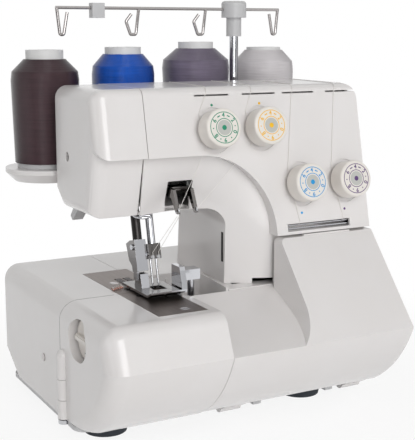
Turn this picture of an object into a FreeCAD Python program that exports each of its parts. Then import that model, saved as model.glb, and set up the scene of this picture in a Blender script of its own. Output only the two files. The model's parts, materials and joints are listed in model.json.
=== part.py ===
import FreeCAD, Part
import math
import os
import re

import Sketcher

# A serger (overlock sewing machine) as a parametric assembly, in millimetres. +X runs to the machine's right,
# +Y to its back and +Z up. The origin lies on the table, under the middle of the machine's box. Every driving
# size is a cell of the sheet, and every sub-part is bound to those cells.

Vector = FreeCAD.Vector
Rotation = FreeCAD.Rotation
Placement = FreeCAD.Placement
NEAR = 0.02

SIZES = {
    # Casing
    "left_face": -151.0,
    "right_face": 132.0,
    "bed_top": 112.0,
    "bed_front": -121.0,
    "bed_rear": 135.0,
    "crease_z": 79.0,
    "crease_y": -135.05,
    "belly_low_y": -82.15,
    "belly_radius": 125.0,
    "rear_bevel_z": 27.0,
    "rear_bevel_y": 112.0,
    "shell": 2.5,
    "seam": 0.4,
    "bed_edge_radius": 16.0,
    "bed_front_radius": 14.0,
    "rear_edge_radius": 8.0,
    # Base pan and feet
    "foot_height": 9.0,
    "foot_radius": 20.0,
    "foot_taper": 2.0,
    "foot_left": -117.0,
    "foot_in": 54.0,
    "foot_front": -39.0,
    "foot_back": 85.0,
    "pan_thickness": 4.0,
    "pan_inset": 1.0,
    "pan_front": -60.0,
    "pan_corner": 12.0,
    "deck_lift": 4.0,
    "boss_radius": 6.0,
    # Swing cover and its hinge
    "swing_seam_y": -26.0,
    "swing_right": -47.0,
    "hinge_y": -32.0,
    "barrel_radius": 5.4,
    "barrel_top": 68.0,
    "knuckle_upper_z": 48.0,
    "knuckle_lower_z": 30.5,
    "barrel_bottom": 14.0,
    "pin_radius": 2.0,
    "pin_cap": 2.2,
    "pin_bottom": 9.6,
    "running_gap": 0.05,
    "window_y": -65.0,
    "window_z": 89.0,
    "window_length": 38.0,
    "window_height": 34.0,
    # Front cover
    "front_gap": 0.4,
    "slope_top_y": -71.0,
    "slope_top_z": 155.0,
    "cover_back": -61.0,
    "tall_left": 35.0,
    "platform_y": -57.0,
    "platform_z": 111.0,
    "flare_x": 20.0,
    "flare_z": 107.0,
    "flare_radius": 33.6,
    "cover_corner": 5.0,
    "cover_low_z": 17.0,
    "cover_axis_y": -67.0,
    "cover_axis_z": 13.0,
    "rod_radius": 2.5,
    "lug_radius": 5.5,
    "lug_width": 20.0,
    "lug_in": 29.0,
    "left_lug_x": -24.0,
    "bracket_width": 8.0,
    "bracket_in": 48.0,
    "left_bracket_x": 8.0,
    "tab_in": 72.0,
    "tab_length": 49.0,
    "tab_height": 1.3,
    # Needle plates
    "plate_left": -97.5,
    "plate_right": -54.0,
    "plate_rear": 56.5,
    "plate_front": -104.5,
    "plate_thickness": 1.6,
    "plate_gap": 0.3,
    "plate_screw_radius": 4.0,
    "plate_screw_depth": 1.2,
    "slit_x": -65.5,
    "slit_front": -56.0,
    "slit_width": 2.0,
    "bed_seam_x": -63.0,
    # Arm and column
    "arm_left": -81.0,
    "arm_bottom": 179.5,
    "arm_top": 285.0,
    "arm_rear": 52.0,
    "arm_front": -27.0,
    "step_z": 229.0,
    "throat_x": 0.0,
    "throat_radius": 16.0,
    "column_rear": 76.0,
    "column_foot_rear": 100.0,
    "column_swell": 4.0,
    "undercut_lean": 6.0,
    "sweep_lead": 16.0,
    "column_front": -46.0,
    "column_brow_y": -56.0,
    "column_brow_z": 160.0,
    "undercut_top_y": -43.0,
    "undercut_low_y": -30.0,
    "undercut_low_z": 186.0,
    "end_depth": 14.0,
    "thread_slit_y": -31.0,
    "thread_slit_width": 2.0,
    "thread_slit_low": 131.0,
    "thread_slit_high": 157.0,
    "catch_left": 22.0,
    "catch_height": 4.5,
    # Head end cover
    "head_left": -125.0,
    "head_edge_radius": 12.0,
    "head_edge_loss": 2.8,
    "head_bottom": 179.0,
    "head_bevel_y": 18.0,
    "head_bevel_z": 14.0,
    # Tension panel
    "panel_low_y": -68.6,
    "panel_low_z": 157.0,
    "panel_lean": 12.17,
    "panel_top_radius": 8.0,
    "panel_corner_radius": 14.0,
    "arc_x": -33.0,
    "arc_radius": 67.0,
    "dial_dish_radius": 19.5,
    "dial_dish_depth": 1.2,
    "slot_left": 45.0,
    "slot_length": 66.0,
    "slot_low_z": 159.5,
    "slot_height": 6.5,
    "slit_in_one": 165.8,
    "slit_in_two": 119.5,
    "slit_in_three": 79.1,
    "slit_in_four": 33.7,
    "slit_length": 33.0,
    "slit_z": 277.5,
    "slit_height": 1.4,
    # Dials
    "dial_radius": 16.3,
    "dial_lift": 4.0,
    "dial_face": 20.0,
    "dial_neck_radius": 11.0,
    "dial_back_gap": 0.5,
    "dial_edge": 2.0,
    "post_radius": 2.5,
    "post_reach": 13.0,
    "nut_radius": 6.0,
    "nut_height": 3.0,
    "upper_dial_z": 249.0,
    "lower_dial_z": 199.5,
    "dial_in_one": 151.0,
    "dial_in_two": 105.5,
    "dial_in_three": 69.7,
    "dial_in_four": 23.7,
    # Drive
    "shaft_y": 30.0,
    "shaft_z": 62.0,
    "shaft_radius": 6.0,
    "shaft_left": -100.0,
    "bush_radius": 9.0,
    "wall_width": 8.0,
    "wall_a_x": -97.0,
    "wall_b_x": -62.0,
    "wall_c_offset": 54.0,
    "deck_thickness": 5.0,
    "pulley_clear": 20.0,
    "pulley_width": 12.0,
    "pulley_radius": 28.0,
    "motor_y": 92.0,
    "motor_z": 52.0,
    "motor_radius": 25.0,
    "motor_offset": 94.0,
    "motor_length": 76.0,
    "motor_shaft_radius": 4.0,
    "motor_pulley_radius": 8.4,
    "belt_gap": 0.1,
    "belt_thickness": 2.0,
    "belt_width": 8.0,
    "wheel_radius": 36.0,
    "wheel_gap": 1.0,
    "wheel_width": 23.4,
    # Sewing head, measured along the leaning bars
    "bar_tilt": 12.5,
    "bar_y": -18.0,
    "bar_z": 175.0,
    "needle_bar_x": -65.0,
    "needle_bar_radius": 3.5,
    "presser_bar_x": -76.0,
    "presser_bar_back": 4.0,
    "presser_bar_radius": 4.0,
    "lug_low": 12.0,
    "lug_high": 78.0,
    "bar_lug_height": 10.0,
    # Thread stand
    "cone_row_y": 92.0,
    "cone_pitch": 77.2,
    "tray_radius": 38.0,
    "tray_low": 197.0,
    "tray_top": 209.0,
    "tray_bevel": 8.0,
    "holder_radius": 27.0,
    "holder_height": 4.5,
    "cone_base_radius": 29.0,
    "cone_pin_top": 298.0,
    "cone_neck": 11.0,
    "cone_top_radius": 19.0,
    "brown_radius": 30.9,
    "brown_shoulder": 295.3,
    "brown_top": 314.5,
    "blue_radius": 29.5,
    "blue_shoulder": 299.0,
    "blue_top": 316.4,
    "violet_radius": 32.8,
    "violet_shoulder": 303.7,
    "violet_top": 320.8,
    "silver_radius": 30.2,
    "silver_shoulder": 301.5,
    "silver_top": 315.3,
    "spool_radius": 17.0,
    "spool_bore": 5.0,
    "pole_x": 78.5,
    "pole_y": 87.0,
    "pole_radius": 4.4,
    "tube_wall": 1.4,
    "bracket_half": 12.0,
    "pole_top": 344.0,
    "cap_radius": 12.2,
    "cap_height": 16.0,
    "wire_radius": 1.5,
    # Chute beside the knives
    "chute_back": 17.0,
    "chute_right_back": -1.0,
    "chute_right_front": -8.0,
    "chute_corner": 15.0,
    "chute_floor": 86.0,
    "lip_height": 2.0,
    "rib_left": -34.0,
    "rib_pitch": 7.0,
    "rib_width": 2.0,
    "rib_depth": 1.2,
    # Small screws
    "screw_slot": 0.9,
    "plate_screw_x": -85.6,
    "plate_screw_front": -14.4,
    "plate_screw_back": 11.7,
    "front_screw_x": -83.0,
    "front_screw_back": -38.8,
    "front_screw_right_x": -68.8,
    "front_screw_front": -93.0,
    "cover_screw_radius": 3.4,
    "cover_screw_y": 15.0,
    "cover_screw_z": 53.0,
    "cover_screw_proud": 0.8,
    "screw_hole_radius": 4.0,
    "head_screw_y": 16.0,
    "head_screw_z": 226.0,
    # Right end: inlet, switch and knobs
    "inlet_y": 96.0,
    "inlet_z": 52.0,
    "inlet_width": 26.0,
    "inlet_height": 20.0,
    "inlet_depth": 14.0,
    "inlet_proud": 1.5,
    "switch_y": 96.0,
    "switch_z": 86.0,
    "switch_width": 16.0,
    "switch_height": 24.0,
    "switch_proud": 3.0,
    "switch_gap": 0.5,
    "switch_pin": 1.0,
    "knob_radius": 15.0,
    "knob_height": 12.0,
    "knob_gap": 0.5,
    "knob_shaft_radius": 3.0,
    "stitch_knob_y": -24.0,
    "stitch_knob_z": 128.0,
    "feed_knob_y": 22.0,
    "feed_knob_z": 130.0,
    # Cutting width dial behind the window
    "width_dial_radius": 16.0,
    "width_dial_x": -144.0,
    "width_dial_depth": 8.0,
    # Chassis
    "deck_left": -140.0,
    "deck_clear": 4.0,
    "deck_front": -22.0,
    "deck_back": 108.0,
    "tongue_left": -44.0,
    "tongue_right": 30.0,
    "tongue_front": -78.0,
    "looper_wall_y": -66.0,
    "looper_wall_depth": 6.0,
    "looper_wall_top": 82.0,
    "post_offset": 36.0,
    "post_width": 33.0,
    "post_front": -18.0,
    "post_back": 18.0,
    "post_clear": 23.0,
    "beam_low": 226.0,
    "beam_front": 0.0,
    "beam_left": -55.0,
    # Loopers
    "looper_shaft_radius": 4.0,
    "lower_looper_x": -28.0,
    "lower_looper_z": 50.0,
    "upper_looper_x": 8.0,
    "upper_looper_z": 52.0,
    "lower_looper_front": -74.0,
    "upper_looper_front": -82.0,
    "looper_thickness": 4.0,
    "looper_hub": 5.5,
    "looper_neck": 14.0,
    "looper_rise": 33.0,
    "looper_reach": 44.0,
    "looper_tip": 4.0,
    "looper_curve": 70.0,
    # Feed dogs
    "dog_left_x": -77.0,
    "dog_right_x": -69.0,
    "dog_width": 5.0,
    "dog_front": -18.0,
    "dog_back": 22.0,
    "dog_travel": 2.0,
    "dog_gap": 0.6,
    "dog_rise": 0.6,
    "dog_tooth": 2.0,
    "needle_hole_x": 6.0,
    "needle_hole_y": 14.0,
    "needle_hole_back": -27.0,
    # Knives
    "knife_x": -36.0,
    "knife_y": -40.0,
    "knife_shank_radius": 3.0,
    "knife_low": 112.8,
    "knife_high": 134.0,
    "knife_left": -49.5,
    "knife_width": 5.0,
    "knife_length": 20.0,
    # Take-up lever
    "take_up_left": -52.0,
    "take_up_width": 20.0,
    "take_up_gap": 2.0,
    "take_up_low": 182.0,
    "take_up_high": 206.0,
    "take_up_y": -20.0,
    "take_up_z": 198.0,
    "take_up_radius": 3.0,
    "take_up_plate": 3.0,
    "take_up_reach": 27.0,
    "take_up_drop": 18.0,
    # Presser lifter
    "lifter_x": -104.0,
    "lifter_width": 10.0,
    "lifter_y": 34.0,
    "lifter_z": 192.0,
    "lifter_radius": 3.0,
    "lifter_reach": 40.0,
    # Bars, clamp, holder and foot
    "bush_wall": 1.4,
    "presser_bar_low": -26.0,
    "needle_bar_low": -30.0,
    "clamp_half": 5.5,
    "clamp_height": 13.0,
    "needle_pitch": 5.4,
    "needle_radius": 0.9,
    "needle_tip": -62.0,
    "needle_seat": -34.0,
    "needle_point": 5.0,
    "holder_half": 5.2,
    "holder_low": -46.0,
    "holder_high": -19.0,
    "fin_lift": 5.0,
    "foot_heel_y": -2.0,
    "foot_toe_y": -62.0,
    "foot_left_x": -84.0,
    "foot_right_x": -51.5,
    "foot_clear": 1.5,
    "foot_sole": 2.2,
    "toe_length": 8.0,
    "toe_rise": 4.0,
    "toe_edge": 1.5,
    "ankle_half": 4.2,
    "ankle_above": 2.5,
    "foot_pivot_y": -24.0,
    "foot_pivot_z": 125.0,
    "foot_pin": 1.6,
    # Wire guide
    "cap_step": 6.0,
    "guide_left": -106.0,
    "guide_right": 130.0,
    "hook_drop": 24.0,
    "hook_width": 11.0,
    "hook_bend": 1.8,
    "hook_one_x": -35.0,
    "hook_two_x": 36.0,
    "clip_x": -72.0,
    "clip_width": 12.0,
    "clip_half": 4.5,
}

# Places worked out from the sizes: the belly's arc runs through the crease and the cover's lower edge, the
# pole's cap carries the wire, and what belongs to the right end keeps its distance from the right face.
PLACES = {
    "belly_chord": "(belly_low_y - crease_y)^2 + (crease_z - cover_low_z)^2",
    "belly_reach": "sqrt(belly_radius^2 / belly_chord - 1 / 4)",
    "belly_center_y": "(crease_y + belly_low_y) / 2 + belly_reach * (crease_z - cover_low_z)",
    "belly_center_z": "(crease_z + cover_low_z) / 2 + belly_reach * (belly_low_y - crease_y)",
    "cap_top": "pole_top + cap_height",
    "wire_z": "pole_top + cap_height / 2",
    "post_top": "arm_top - post_clear",
    "end_seam_x": "right_face - end_depth",
    "deck_right": "end_seam_x - deck_clear",
    "pulley_x": "end_seam_x - pulley_clear",
    "motor_left": "pulley_x - motor_offset",
    "wall_c_x": "pulley_x - wall_c_offset",
    "post_left": "pulley_x - post_offset",
    "post_right": "post_left + post_width",
    "wheel_left": "right_face + wheel_gap",
    "wheel_right": "wheel_left + wheel_width",
    "foot_right": "right_face - foot_in",
    "right_lug_x": "right_face - lug_in",
    "right_bracket_x": "right_face - bracket_in",
    "tab_left": "right_face - tab_in",
    **{f"{kind}_x_{count}": f"right_face - {kind}_in_{count}"
       for kind in ("dial", "slit") for count in ("one", "two", "three", "four")},
}

doc = FreeCAD.newDocument("serger")
sheet = doc.addObject("Spreadsheet::Sheet", "sizes")
nodes = {}


def fill_sheet():
    """Write each driving size to its own aliased cell."""
    for row, (alias, number) in enumerate(SIZES.items(), 1):
        sheet.set(f"A{row}", alias)
        sheet.set(f"B{row}", str(number))
        sheet.setAlias(f"B{row}", alias)
    doc.recompute()


def spell_out(expression):
    """The expression with every worked-out place written in sizes."""
    return re.sub(r"[A-Za-z_]\w*", lambda m: f"({spell_out(PLACES[m[0]])})" if m[0] in PLACES else m[0],
                  str(expression))


def link(expression):
    """The expression with every size named through the sheet."""
    return re.sub(r"[A-Za-z_]\w*", lambda m: f"sizes.{m[0]}" if m[0] in SIZES else m[0],
                  spell_out(expression))


def value(expression):
    """The number that an expression of sizes gives."""
    return float(sheet.evalExpression(spell_out(expression)))


def bind(obj, properties):
    """Bind properties of an object to expressions of sizes."""
    for name, expression in properties.items():
        obj.setExpression(name, link(expression))
    return obj


def place(obj, base, turn=None):
    """Put an object at a bound place, turned by (axis, angle expression)."""
    if turn:
        obj.Placement = Placement(Vector(), Rotation(Vector(*turn[0]), value(turn[1])))
        obj.setExpression("Placement.Rotation.Angle", f"({link(turn[1])}) * 1 deg")
    return bind(obj, {f"Placement.Base.{axis}": part for axis, part in zip("xyz", base)})


def node(name, obj):
    """Keep an object as a sub-part under its own label."""
    obj.Label = name
    nodes[name] = obj
    return obj


# Solids from Part primitives


def box(low, high):
    """A box between two corners."""
    sides = {side: f"({b}) - ({a})" for side, a, b in zip(("Length", "Width", "Height"), low, high)}
    return place(bind(doc.addObject("Part::Box", "box"), sides), low)


TURNS = {"z": None, "x": ((0, 1, 0), "90"), "y": ((1, 0, 0), "-90"), "-y": ((1, 0, 0), "90")}


def cylinder(base, radius, height, axis="z"):
    """A cylinder from its base centre along an axis."""
    solid = bind(doc.addObject("Part::Cylinder", "cylinder"), {"Radius": radius, "Height": height})
    return place(solid, base, TURNS[axis])


def cone(base, low_radius, high_radius, height, axis="z"):
    """A cone frustum from its base centre along an axis."""
    solid = bind(doc.addObject("Part::Cone", "cone"),
                 {"Radius1": low_radius, "Radius2": high_radius, "Height": height})
    return place(solid, base, TURNS[axis])


def sphere(center, radius):
    """A ball."""
    return place(bind(doc.addObject("Part::Sphere", "sphere"), {"Radius": radius}), center)


def group(*solids):
    """Separate solids kept together."""
    compound = doc.addObject("Part::Compound", "group")
    compound.Links = list(solids)
    return compound


def fuse(*solids):
    """One solid from several."""
    union = doc.addObject("Part::MultiFuse", "union")
    union.Shapes = list(solids)
    union.Refine = True
    return union


def common(*solids):
    """What several solids share."""
    shared = doc.addObject("Part::MultiCommon", "shared")
    shared.Shapes = list(solids)
    return shared


def cut(base, *tools):
    """A solid less others."""
    result = doc.addObject("Part::Cut", "cut")
    result.Base = base
    result.Tool = tools[0] if len(tools) == 1 else fuse(*tools)
    return result


# Solids from sketches


def start_body():
    """An empty PartDesign body."""
    return doc.addObject("PartDesign::Body", "body")


def sketch_on(body, plane, offset):
    """A sketch on one of the body's own planes, moved along the plane's normal."""
    sketch = body.newObject("Sketcher::SketchObject", "sketch")
    origin_plane = next(f for f in body.Origin.OriginFeatures if f.Role == f"{plane}_Plane")
    sketch.AttachmentSupport = [(origin_plane, "")]
    sketch.MapMode = "FlatFace"
    sketch.setExpression("AttachmentOffset.Base.z", link(offset))
    return sketch


def arc_through(start, end, radius):
    """The short arc between two points, its centre to the left of the way for a positive radius."""
    across = end - start
    side = 1 if radius > 0 else -1
    normal = Vector(-across.y, across.x, 0).normalize() * side
    center = (start + end) * 0.5 + normal * math.sqrt(radius ** 2 - across.Length ** 2 / 4)
    first, last = (start, end) if radius > 0 else (end, start)
    angles = [math.atan2(p.y - center.y, p.x - center.x) for p in (first, last)]
    return Part.ArcOfCircle(Part.Circle(center, Vector(0, 0, 1), abs(radius)), *angles)


def outline(body, plane, offset, points):
    """A closed sketch through bound points; a third item is the radius of the arc that leaves the point."""
    sketch = sketch_on(body, plane, offset)
    corners = [Vector(value(p[0]), value(p[1]), 0) for p in points]
    count = len(points)
    for i, point in enumerate(points):
        start, end = corners[i], corners[(i + 1) % count]
        curve = arc_through(start, end, value(point[2])) if len(point) > 2 else Part.LineSegment(start, end)
        sketch.addGeometry(curve, False)
    starts = [1 if (g.StartPoint - c).Length < (g.EndPoint - c).Length else 2
              for g, c in zip(sketch.Geometry, corners)]
    for i, point in enumerate(points):
        last = (i - 1) % count
        sketch.addConstraint(Sketcher.Constraint("Coincident", last, 3 - starts[last], i, starts[i]))
        x, y = corners[i].x, corners[i].y
        for kind, number, part in (("DistanceX", x, point[0]), ("DistanceY", y, point[1])):
            index = sketch.addConstraint(Sketcher.Constraint(kind, -1, 1, i, starts[i], number))
            sketch.setExpression(f"Constraints[{index}]", link(part))
        if len(point) > 2:
            index = sketch.addConstraint(Sketcher.Constraint("Radius", i, abs(value(point[2]))))
            sketch.setExpression(f"Constraints[{index}]", link(f"abs({point[2]})"))
    return sketch


def pad(body, sketch, length):
    """Pad a sketch along its normal."""
    feature = body.newObject("PartDesign::Pad", "pad")
    feature.Profile = sketch
    bind(feature, {"Length": length})
    doc.recompute()
    return feature


def prism(plane, points, start, end):
    """A body with one outline padded between two places along X ("YZ"), Z ("XY") or -Y ("XZ")."""
    body = start_body()
    pad(body, outline(body, plane, start, points), f"({end}) - ({start})")
    return body


def revolve(points):
    """A body turned about its Z axis from (radius, height) points."""
    body = start_body()
    feature = body.newObject("PartDesign::Revolution", "turned")
    sketch = outline(body, "XZ", "0", points)
    feature.Profile = sketch
    feature.ReferenceAxis = (sketch, ["V_Axis"])
    feature.Angle = 360
    doc.recompute()
    return body


def at(**places):
    """A test for edges that lie wholly in the given planes, such as x="left_face"."""
    targets = {axis.upper(): value(part) for axis, part in places.items()}

    def test(edge):
        bounds = edge.BoundBox
        return all(abs(getattr(bounds, f"{axis}{end}") - target) < NEAR
                   for axis, target in targets.items() for end in ("Min", "Max"))
    return test


def round_edges(body, radius, *tests, kind="Fillet"):
    """Fillet or chamfer the body's edges that pass any of the tests."""
    base = body.Tip
    names = [f"Edge{i}" for i, edge in enumerate(base.Shape.Edges, 1) if any(t(edge) for t in tests)]
    feature = body.newObject(f"PartDesign::{kind}", kind.lower())
    feature.Base = (base, names)
    bind(feature, {"Radius" if kind == "Fillet" else "Size": radius})
    doc.recompute()
    return body


def pipe(points, radius, bend):
    """A round wire through points, its corners rounded to one bend radius."""
    edges = []
    last = points[0]
    for corner, after in zip(points[1:], points[2:] + [None]):
        if after is None:
            edges.append(Part.LineSegment(last, corner).toShape())
            break
        into = (corner - last).normalize()
        out = (after - corner).normalize()
        turn = into.getAngle(out)
        reach = bend * math.tan(turn / 2)
        enter, leave = corner - into * reach, corner + out * reach
        middle = corner + (out - into).normalize() * (bend / math.cos(turn / 2) - bend)
        edges.append(Part.LineSegment(last, enter).toShape())
        edges.append(Part.Arc(enter, middle, leave).toShape())
        last = leave
    path = Part.Wire(edges)
    ring = Part.Wire(Part.Circle(points[0], points[1] - points[0], radius).toShape())
    return path.makePipeShell([ring], True, False)


# Shared outlines


def belly(z, inset="0"):
    """Y of the casing's rounded lower front at a height."""
    return f"belly_center_y - sqrt((belly_radius - {inset})^2 - ({z} - belly_center_z)^2)"


PAN_TOP = "foot_height + pan_thickness"
PANEL_SLOPE = "tan(panel_lean * 1 deg)"


def panel_y(z):
    """Y of the tension panel's front at a height."""
    return f"panel_low_y + ({z} - panel_low_z) * {PANEL_SLOPE}"


def make_swing_cover():
    """The hinged left front cover: a thin shell with hinge knuckles and a finger window."""
    def shell(inset, x_start, x_end, back):
        low = f"{PAN_TOP} + seam - 2 * ({inset})"
        body = prism("YZ", [
            (back, f"bed_top - {inset}"),
            (f"bed_front + {inset}", f"bed_top - {inset}"),
            (belly(f"(crease_z - {inset})", inset), f"crease_z - {inset}", f"belly_radius - {inset}"),
            (belly(f"({low})", inset), low),
            (back, low),
        ], x_start, x_end)
        round_edges(body, f"bed_front_radius - {inset}", at(y=f"bed_front + {inset}", z=f"bed_top - {inset}"))
        front = at(x=x_start)
        return round_edges(body, f"bed_edge_radius - {inset}",
                           lambda e: front(e) and e.BoundBox.ZMax > value(low) + 1 and not at(y=back)(e))

    back = "swing_seam_y - seam"
    outer = shell("0", "left_face", "swing_right", back)
    inner = shell("shell", "left_face + shell", "swing_right + shell", "swing_seam_y + shell")
    barrel = fuse(cylinder(("left_face", "hinge_y", "barrel_bottom"), "barrel_radius",
                           "barrel_top - barrel_bottom"),
                  sphere(("left_face", "hinge_y", "barrel_top"), "barrel_radius"))
    notch = box(("left_face - 2 * barrel_radius", "hinge_y - barrel_radius - seam", "knuckle_lower_z - seam"),
                ("left_face + 2 * barrel_radius", "swing_seam_y + seam", "knuckle_upper_z + seam"))
    bore = cylinder(("left_face", "hinge_y", "0"), "pin_radius + running_gap", "barrel_top + pin_cap")
    recess = box(("plate_left - plate_gap", "plate_front - plate_gap", "bed_top - plate_thickness"),
                 ("plate_right + plate_gap", "swing_seam_y + seam", "bed_top + shell"))
    finger = box(("needle_bar_x - needle_hole_x", "slit_front - slit_width", "bed_top - 2 * shell"),
                 ("needle_bar_x + needle_hole_x", "swing_seam_y + seam", "bed_top + shell"))
    chute_room = box(("plate_right + plate_gap", "platform_y - front_gap", "bed_top - 2 * shell"),
                     ("swing_right + shell", "swing_seam_y + seam", "bed_top + shell"))
    shell_with_barrel = fuse(cut(outer, inner), barrel)
    node("swing_cover", cut(shell_with_barrel, notch, bore, slot_tool(), recess, finger, chute_room))
    pin = fuse(cylinder(("left_face", "hinge_y", "pin_bottom"), "pin_radius", "barrel_top - pin_bottom"),
               cylinder(("left_face", "hinge_y", "pin_bottom"), "barrel_radius - seam",
                        f"{PAN_TOP} - pin_bottom"))
    node("swing_hinge_pin", pin)


def slot_tool():
    """An oval prism that opens the finger window in the swing cover's left wall."""
    half = "(window_length - window_height) / 2"
    deep = "4 * shell"
    rounds = [cylinder(("left_face - shell", f"window_y {sign} {half}", "window_z"), "window_height / 2",
                       deep, "x") for sign in "+-"]
    middle = box(("left_face - shell", f"window_y - {half}", "window_z - window_height / 2"),
                 (f"left_face - shell + {deep}", f"window_y + {half}", "window_z + window_height / 2"))
    return fuse(middle, *rounds)


def make_front_cover():
    """The looper cover: a tall slope at the right, a low platform at the left, hung on a rod below."""
    def shell(inset, left, right, back):
        low = f"cover_low_z - 2 * ({inset})"
        top = f"slope_top_z - {inset}"
        side = f"tall_left + {inset}"
        crease = (belly(f"(crease_z - {inset})", inset), f"crease_z - {inset}", f"belly_radius - {inset}")
        foot = (belly(f"({low})", inset), low)
        platform = prism("YZ", [(f"platform_y + {inset}", f"platform_z - 1.1 * {inset}"), crease, foot,
                                (f"platform_y + {inset}", low)], left, "tall_left + 3 * shell")
        slope = prism("YZ", [(back, top), (f"slope_top_y + 0.5 * {inset}", top), crease, foot, (back, low)],
                      f"flare_x + {inset}", right)
        flank = prism("XZ", [(right, top), (side, top), (side, "flare_z", f"-(flare_radius + {inset})"),
                             (f"flare_x + {inset}", "crease_z"), (f"flare_x + {inset}", low), (right, low)],
                      "0", "bed_rear")
        round_edges(flank, f"cover_corner - {inset}", at(x=side, z=top))
        return fuse(platform, common(slope, flank))

    outer = shell("0", "swing_right + front_gap", "right_face", "cover_back")
    inner = shell("shell", "swing_right - shell", "right_face - shell", "cover_back + shell")
    places = ("right_lug_x", "left_lug_x")
    lugs = [cylinder((x, "cover_axis_y", "cover_axis_z"), "lug_radius", "lug_width", "x") for x in places]
    webs = [box((x, "cover_axis_y - 3 * lug_radius", "cover_axis_z - 0.2 * lug_radius"),
                (f"{x} + lug_width", "cover_axis_y", "cover_axis_z + lug_radius")) for x in places]
    trimmed = [common(web, outer_belly("0")) for web in webs]
    tab = box(("tab_left", "slope_top_y + shell / 2", "slope_top_z - shell"),
              ("tab_left + tab_length", "slope_top_y + 2 * shell", "slope_top_z + tab_height"))
    bore = cylinder(("left_lug_x - 1", "cover_axis_y", "cover_axis_z"), "rod_radius + running_gap",
                    "right_face - left_lug_x", "x")
    node("front_cover", cut(fuse(cut(outer, inner), tab, *lugs, *trimmed), bore))


def outer_belly(inset):
    """The round bar whose lower front is the casing's belly."""
    return cylinder(("left_face", "belly_center_y", "belly_center_z"), f"belly_radius - {inset}",
                    "right_face - left_face", "x")


def make_bed():
    """The fixed bed: left cover with its hinge knuckle, rear cover, needle plates and their screws."""
    def shell(inset, left, right, front, low):
        body = prism("YZ", [
            (f"bed_rear - {inset}", f"bed_top - {inset}"), (front, f"bed_top - {inset}"), (front, low),
            (f"rear_bevel_y - {inset}", low), (f"bed_rear - {inset}", f"rear_bevel_z + {inset}"),
        ], left, right)
        return round_edges(body, f"rear_edge_radius - {inset}",
                           at(y=f"bed_rear - {inset}", z=f"bed_top - {inset}"))

    def left_rounded(body, left, front, inset):
        face = at(x=left)
        low = value(PAN_TOP) + 1
        return round_edges(body, f"bed_edge_radius - {inset}",
                           lambda e: face(e) and e.BoundBox.ZMax > low and not at(y=front)(e))

    outer = left_rounded(shell("0", "left_face", "bed_seam_x", "swing_seam_y", PAN_TOP),
                         "left_face", "swing_seam_y", "0")
    open_front = "swing_seam_y - shell"
    inner = left_rounded(shell("shell", "left_face + shell", "bed_seam_x + shell", open_front,
                               f"{PAN_TOP} - shell"), "left_face + shell", open_front, "shell")
    plate_hole = box(("plate_left - plate_gap", "swing_seam_y - shell", "bed_top - 2 * shell"),
                     ("plate_right + plate_gap", "plate_rear + plate_gap", "bed_top + shell"))
    knuckle = fuse(cylinder(("left_face", "hinge_y", "knuckle_lower_z"), "barrel_radius",
                            "knuckle_upper_z - knuckle_lower_z"),
                   box(("left_face", "hinge_y", "knuckle_lower_z"),
                       ("left_face + shell", "swing_seam_y + shell", "knuckle_upper_z")))
    pin_bore = cylinder(("left_face", "hinge_y", "0"), "pin_radius", "barrel_top")
    node("left_bed_cover", cut(fuse(cut(outer, inner), knuckle), plate_hole, pin_bore))

    outer = shell("0", "bed_seam_x + seam", "end_seam_x", "platform_y + front_gap", PAN_TOP)
    inner = shell("shell", "bed_seam_x", "end_seam_x + shell", "platform_y", f"{PAN_TOP} - shell")
    post_hole = box(("throat_x + 2 * shell", "column_front + 2 * shell", "bed_top - 2 * shell"),
                    ("end_seam_x - 2 * shell", "arm_rear - 2 * shell", "bed_top + shell"))
    chute_hole = chute_outline("0", "bed_top - 2 * shell", "bed_top + shell")
    node("rear_bed_cover", cut(cut(outer, inner), plate_hole_right(), chute_hole, post_hole))
    plate = box(("plate_left", "swing_seam_y + seam / 2", "bed_top - plate_thickness"),
                ("plate_right", "plate_rear", "bed_top"))
    under = "bed_top - 2 * shell"
    needle_hole = box(("needle_bar_x - needle_hole_x", "needle_hole_back - needle_hole_y", under),
                      ("needle_bar_x + needle_hole_x", "needle_hole_back", "bed_top + shell"))
    dog_slots = [box((f"{x} - dog_width / 2 - dog_gap", "dog_front - dog_travel - dog_gap", under),
                     (f"{x} + dog_width / 2 + dog_gap", "dog_back + dog_travel + dog_gap", "bed_top + shell"))
                 for x in DOG_ROWS]
    rear_screws = [("plate_screw_x", "plate_screw_back"), ("plate_screw_x", "plate_screw_front")]
    node("needle_plate", cut(plate, *dog_slots, *[screw_sink(x, y) for x, y in rear_screws]))
    left = cylinder(("left_face - cover_screw_proud", "cover_screw_y", "cover_screw_z"), "cover_screw_radius",
                    "cover_screw_proud", "x")
    node("cover_screws", group(left, *[screw(x, y) for x, y in rear_screws]))
    plate = box(("plate_left", "plate_front", "bed_top - plate_thickness"),
                ("plate_right", "swing_seam_y - seam", "bed_top"))
    slit = box(("slit_x - slit_width / 2", "slit_front", "bed_top - 2 * shell"),
               ("slit_x + slit_width / 2", "swing_seam_y", "bed_top + shell"))
    front_screws = [("front_screw_x", "front_screw_back"), ("front_screw_right_x", "front_screw_front")]
    node("front_needle_plate", cut(plate, slit, needle_hole, *[screw_sink(x, y) for x, y in front_screws]))
    node("front_plate_screws", group(*[screw(x, y) for x, y in front_screws]))


def plate_hole_right():
    """The opening in the rear bed cover for the right edge of the needle plate."""
    return box(("bed_seam_x - shell", "platform_y - shell", "bed_top - 2 * shell"),
               ("plate_right + plate_gap", "plate_rear + plate_gap", "bed_top + shell"))


def chute_outline(inset, low, high):
    """The chute's plan beside the knives, from one height to another."""
    body = prism("XY", [
        ("plate_right + plate_gap", f"chute_back - {inset}"),
        ("plate_right + plate_gap", "platform_y - shell"),
        (f"chute_right_front - {inset}", "platform_y - shell"),
        (f"chute_right_back - {inset}", f"chute_back - {inset}"),
    ], low, high)
    corner = at(x=f"chute_right_back - {inset}", y=f"chute_back - {inset}")
    return round_edges(body, f"chute_corner - {inset}", corner)


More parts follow.
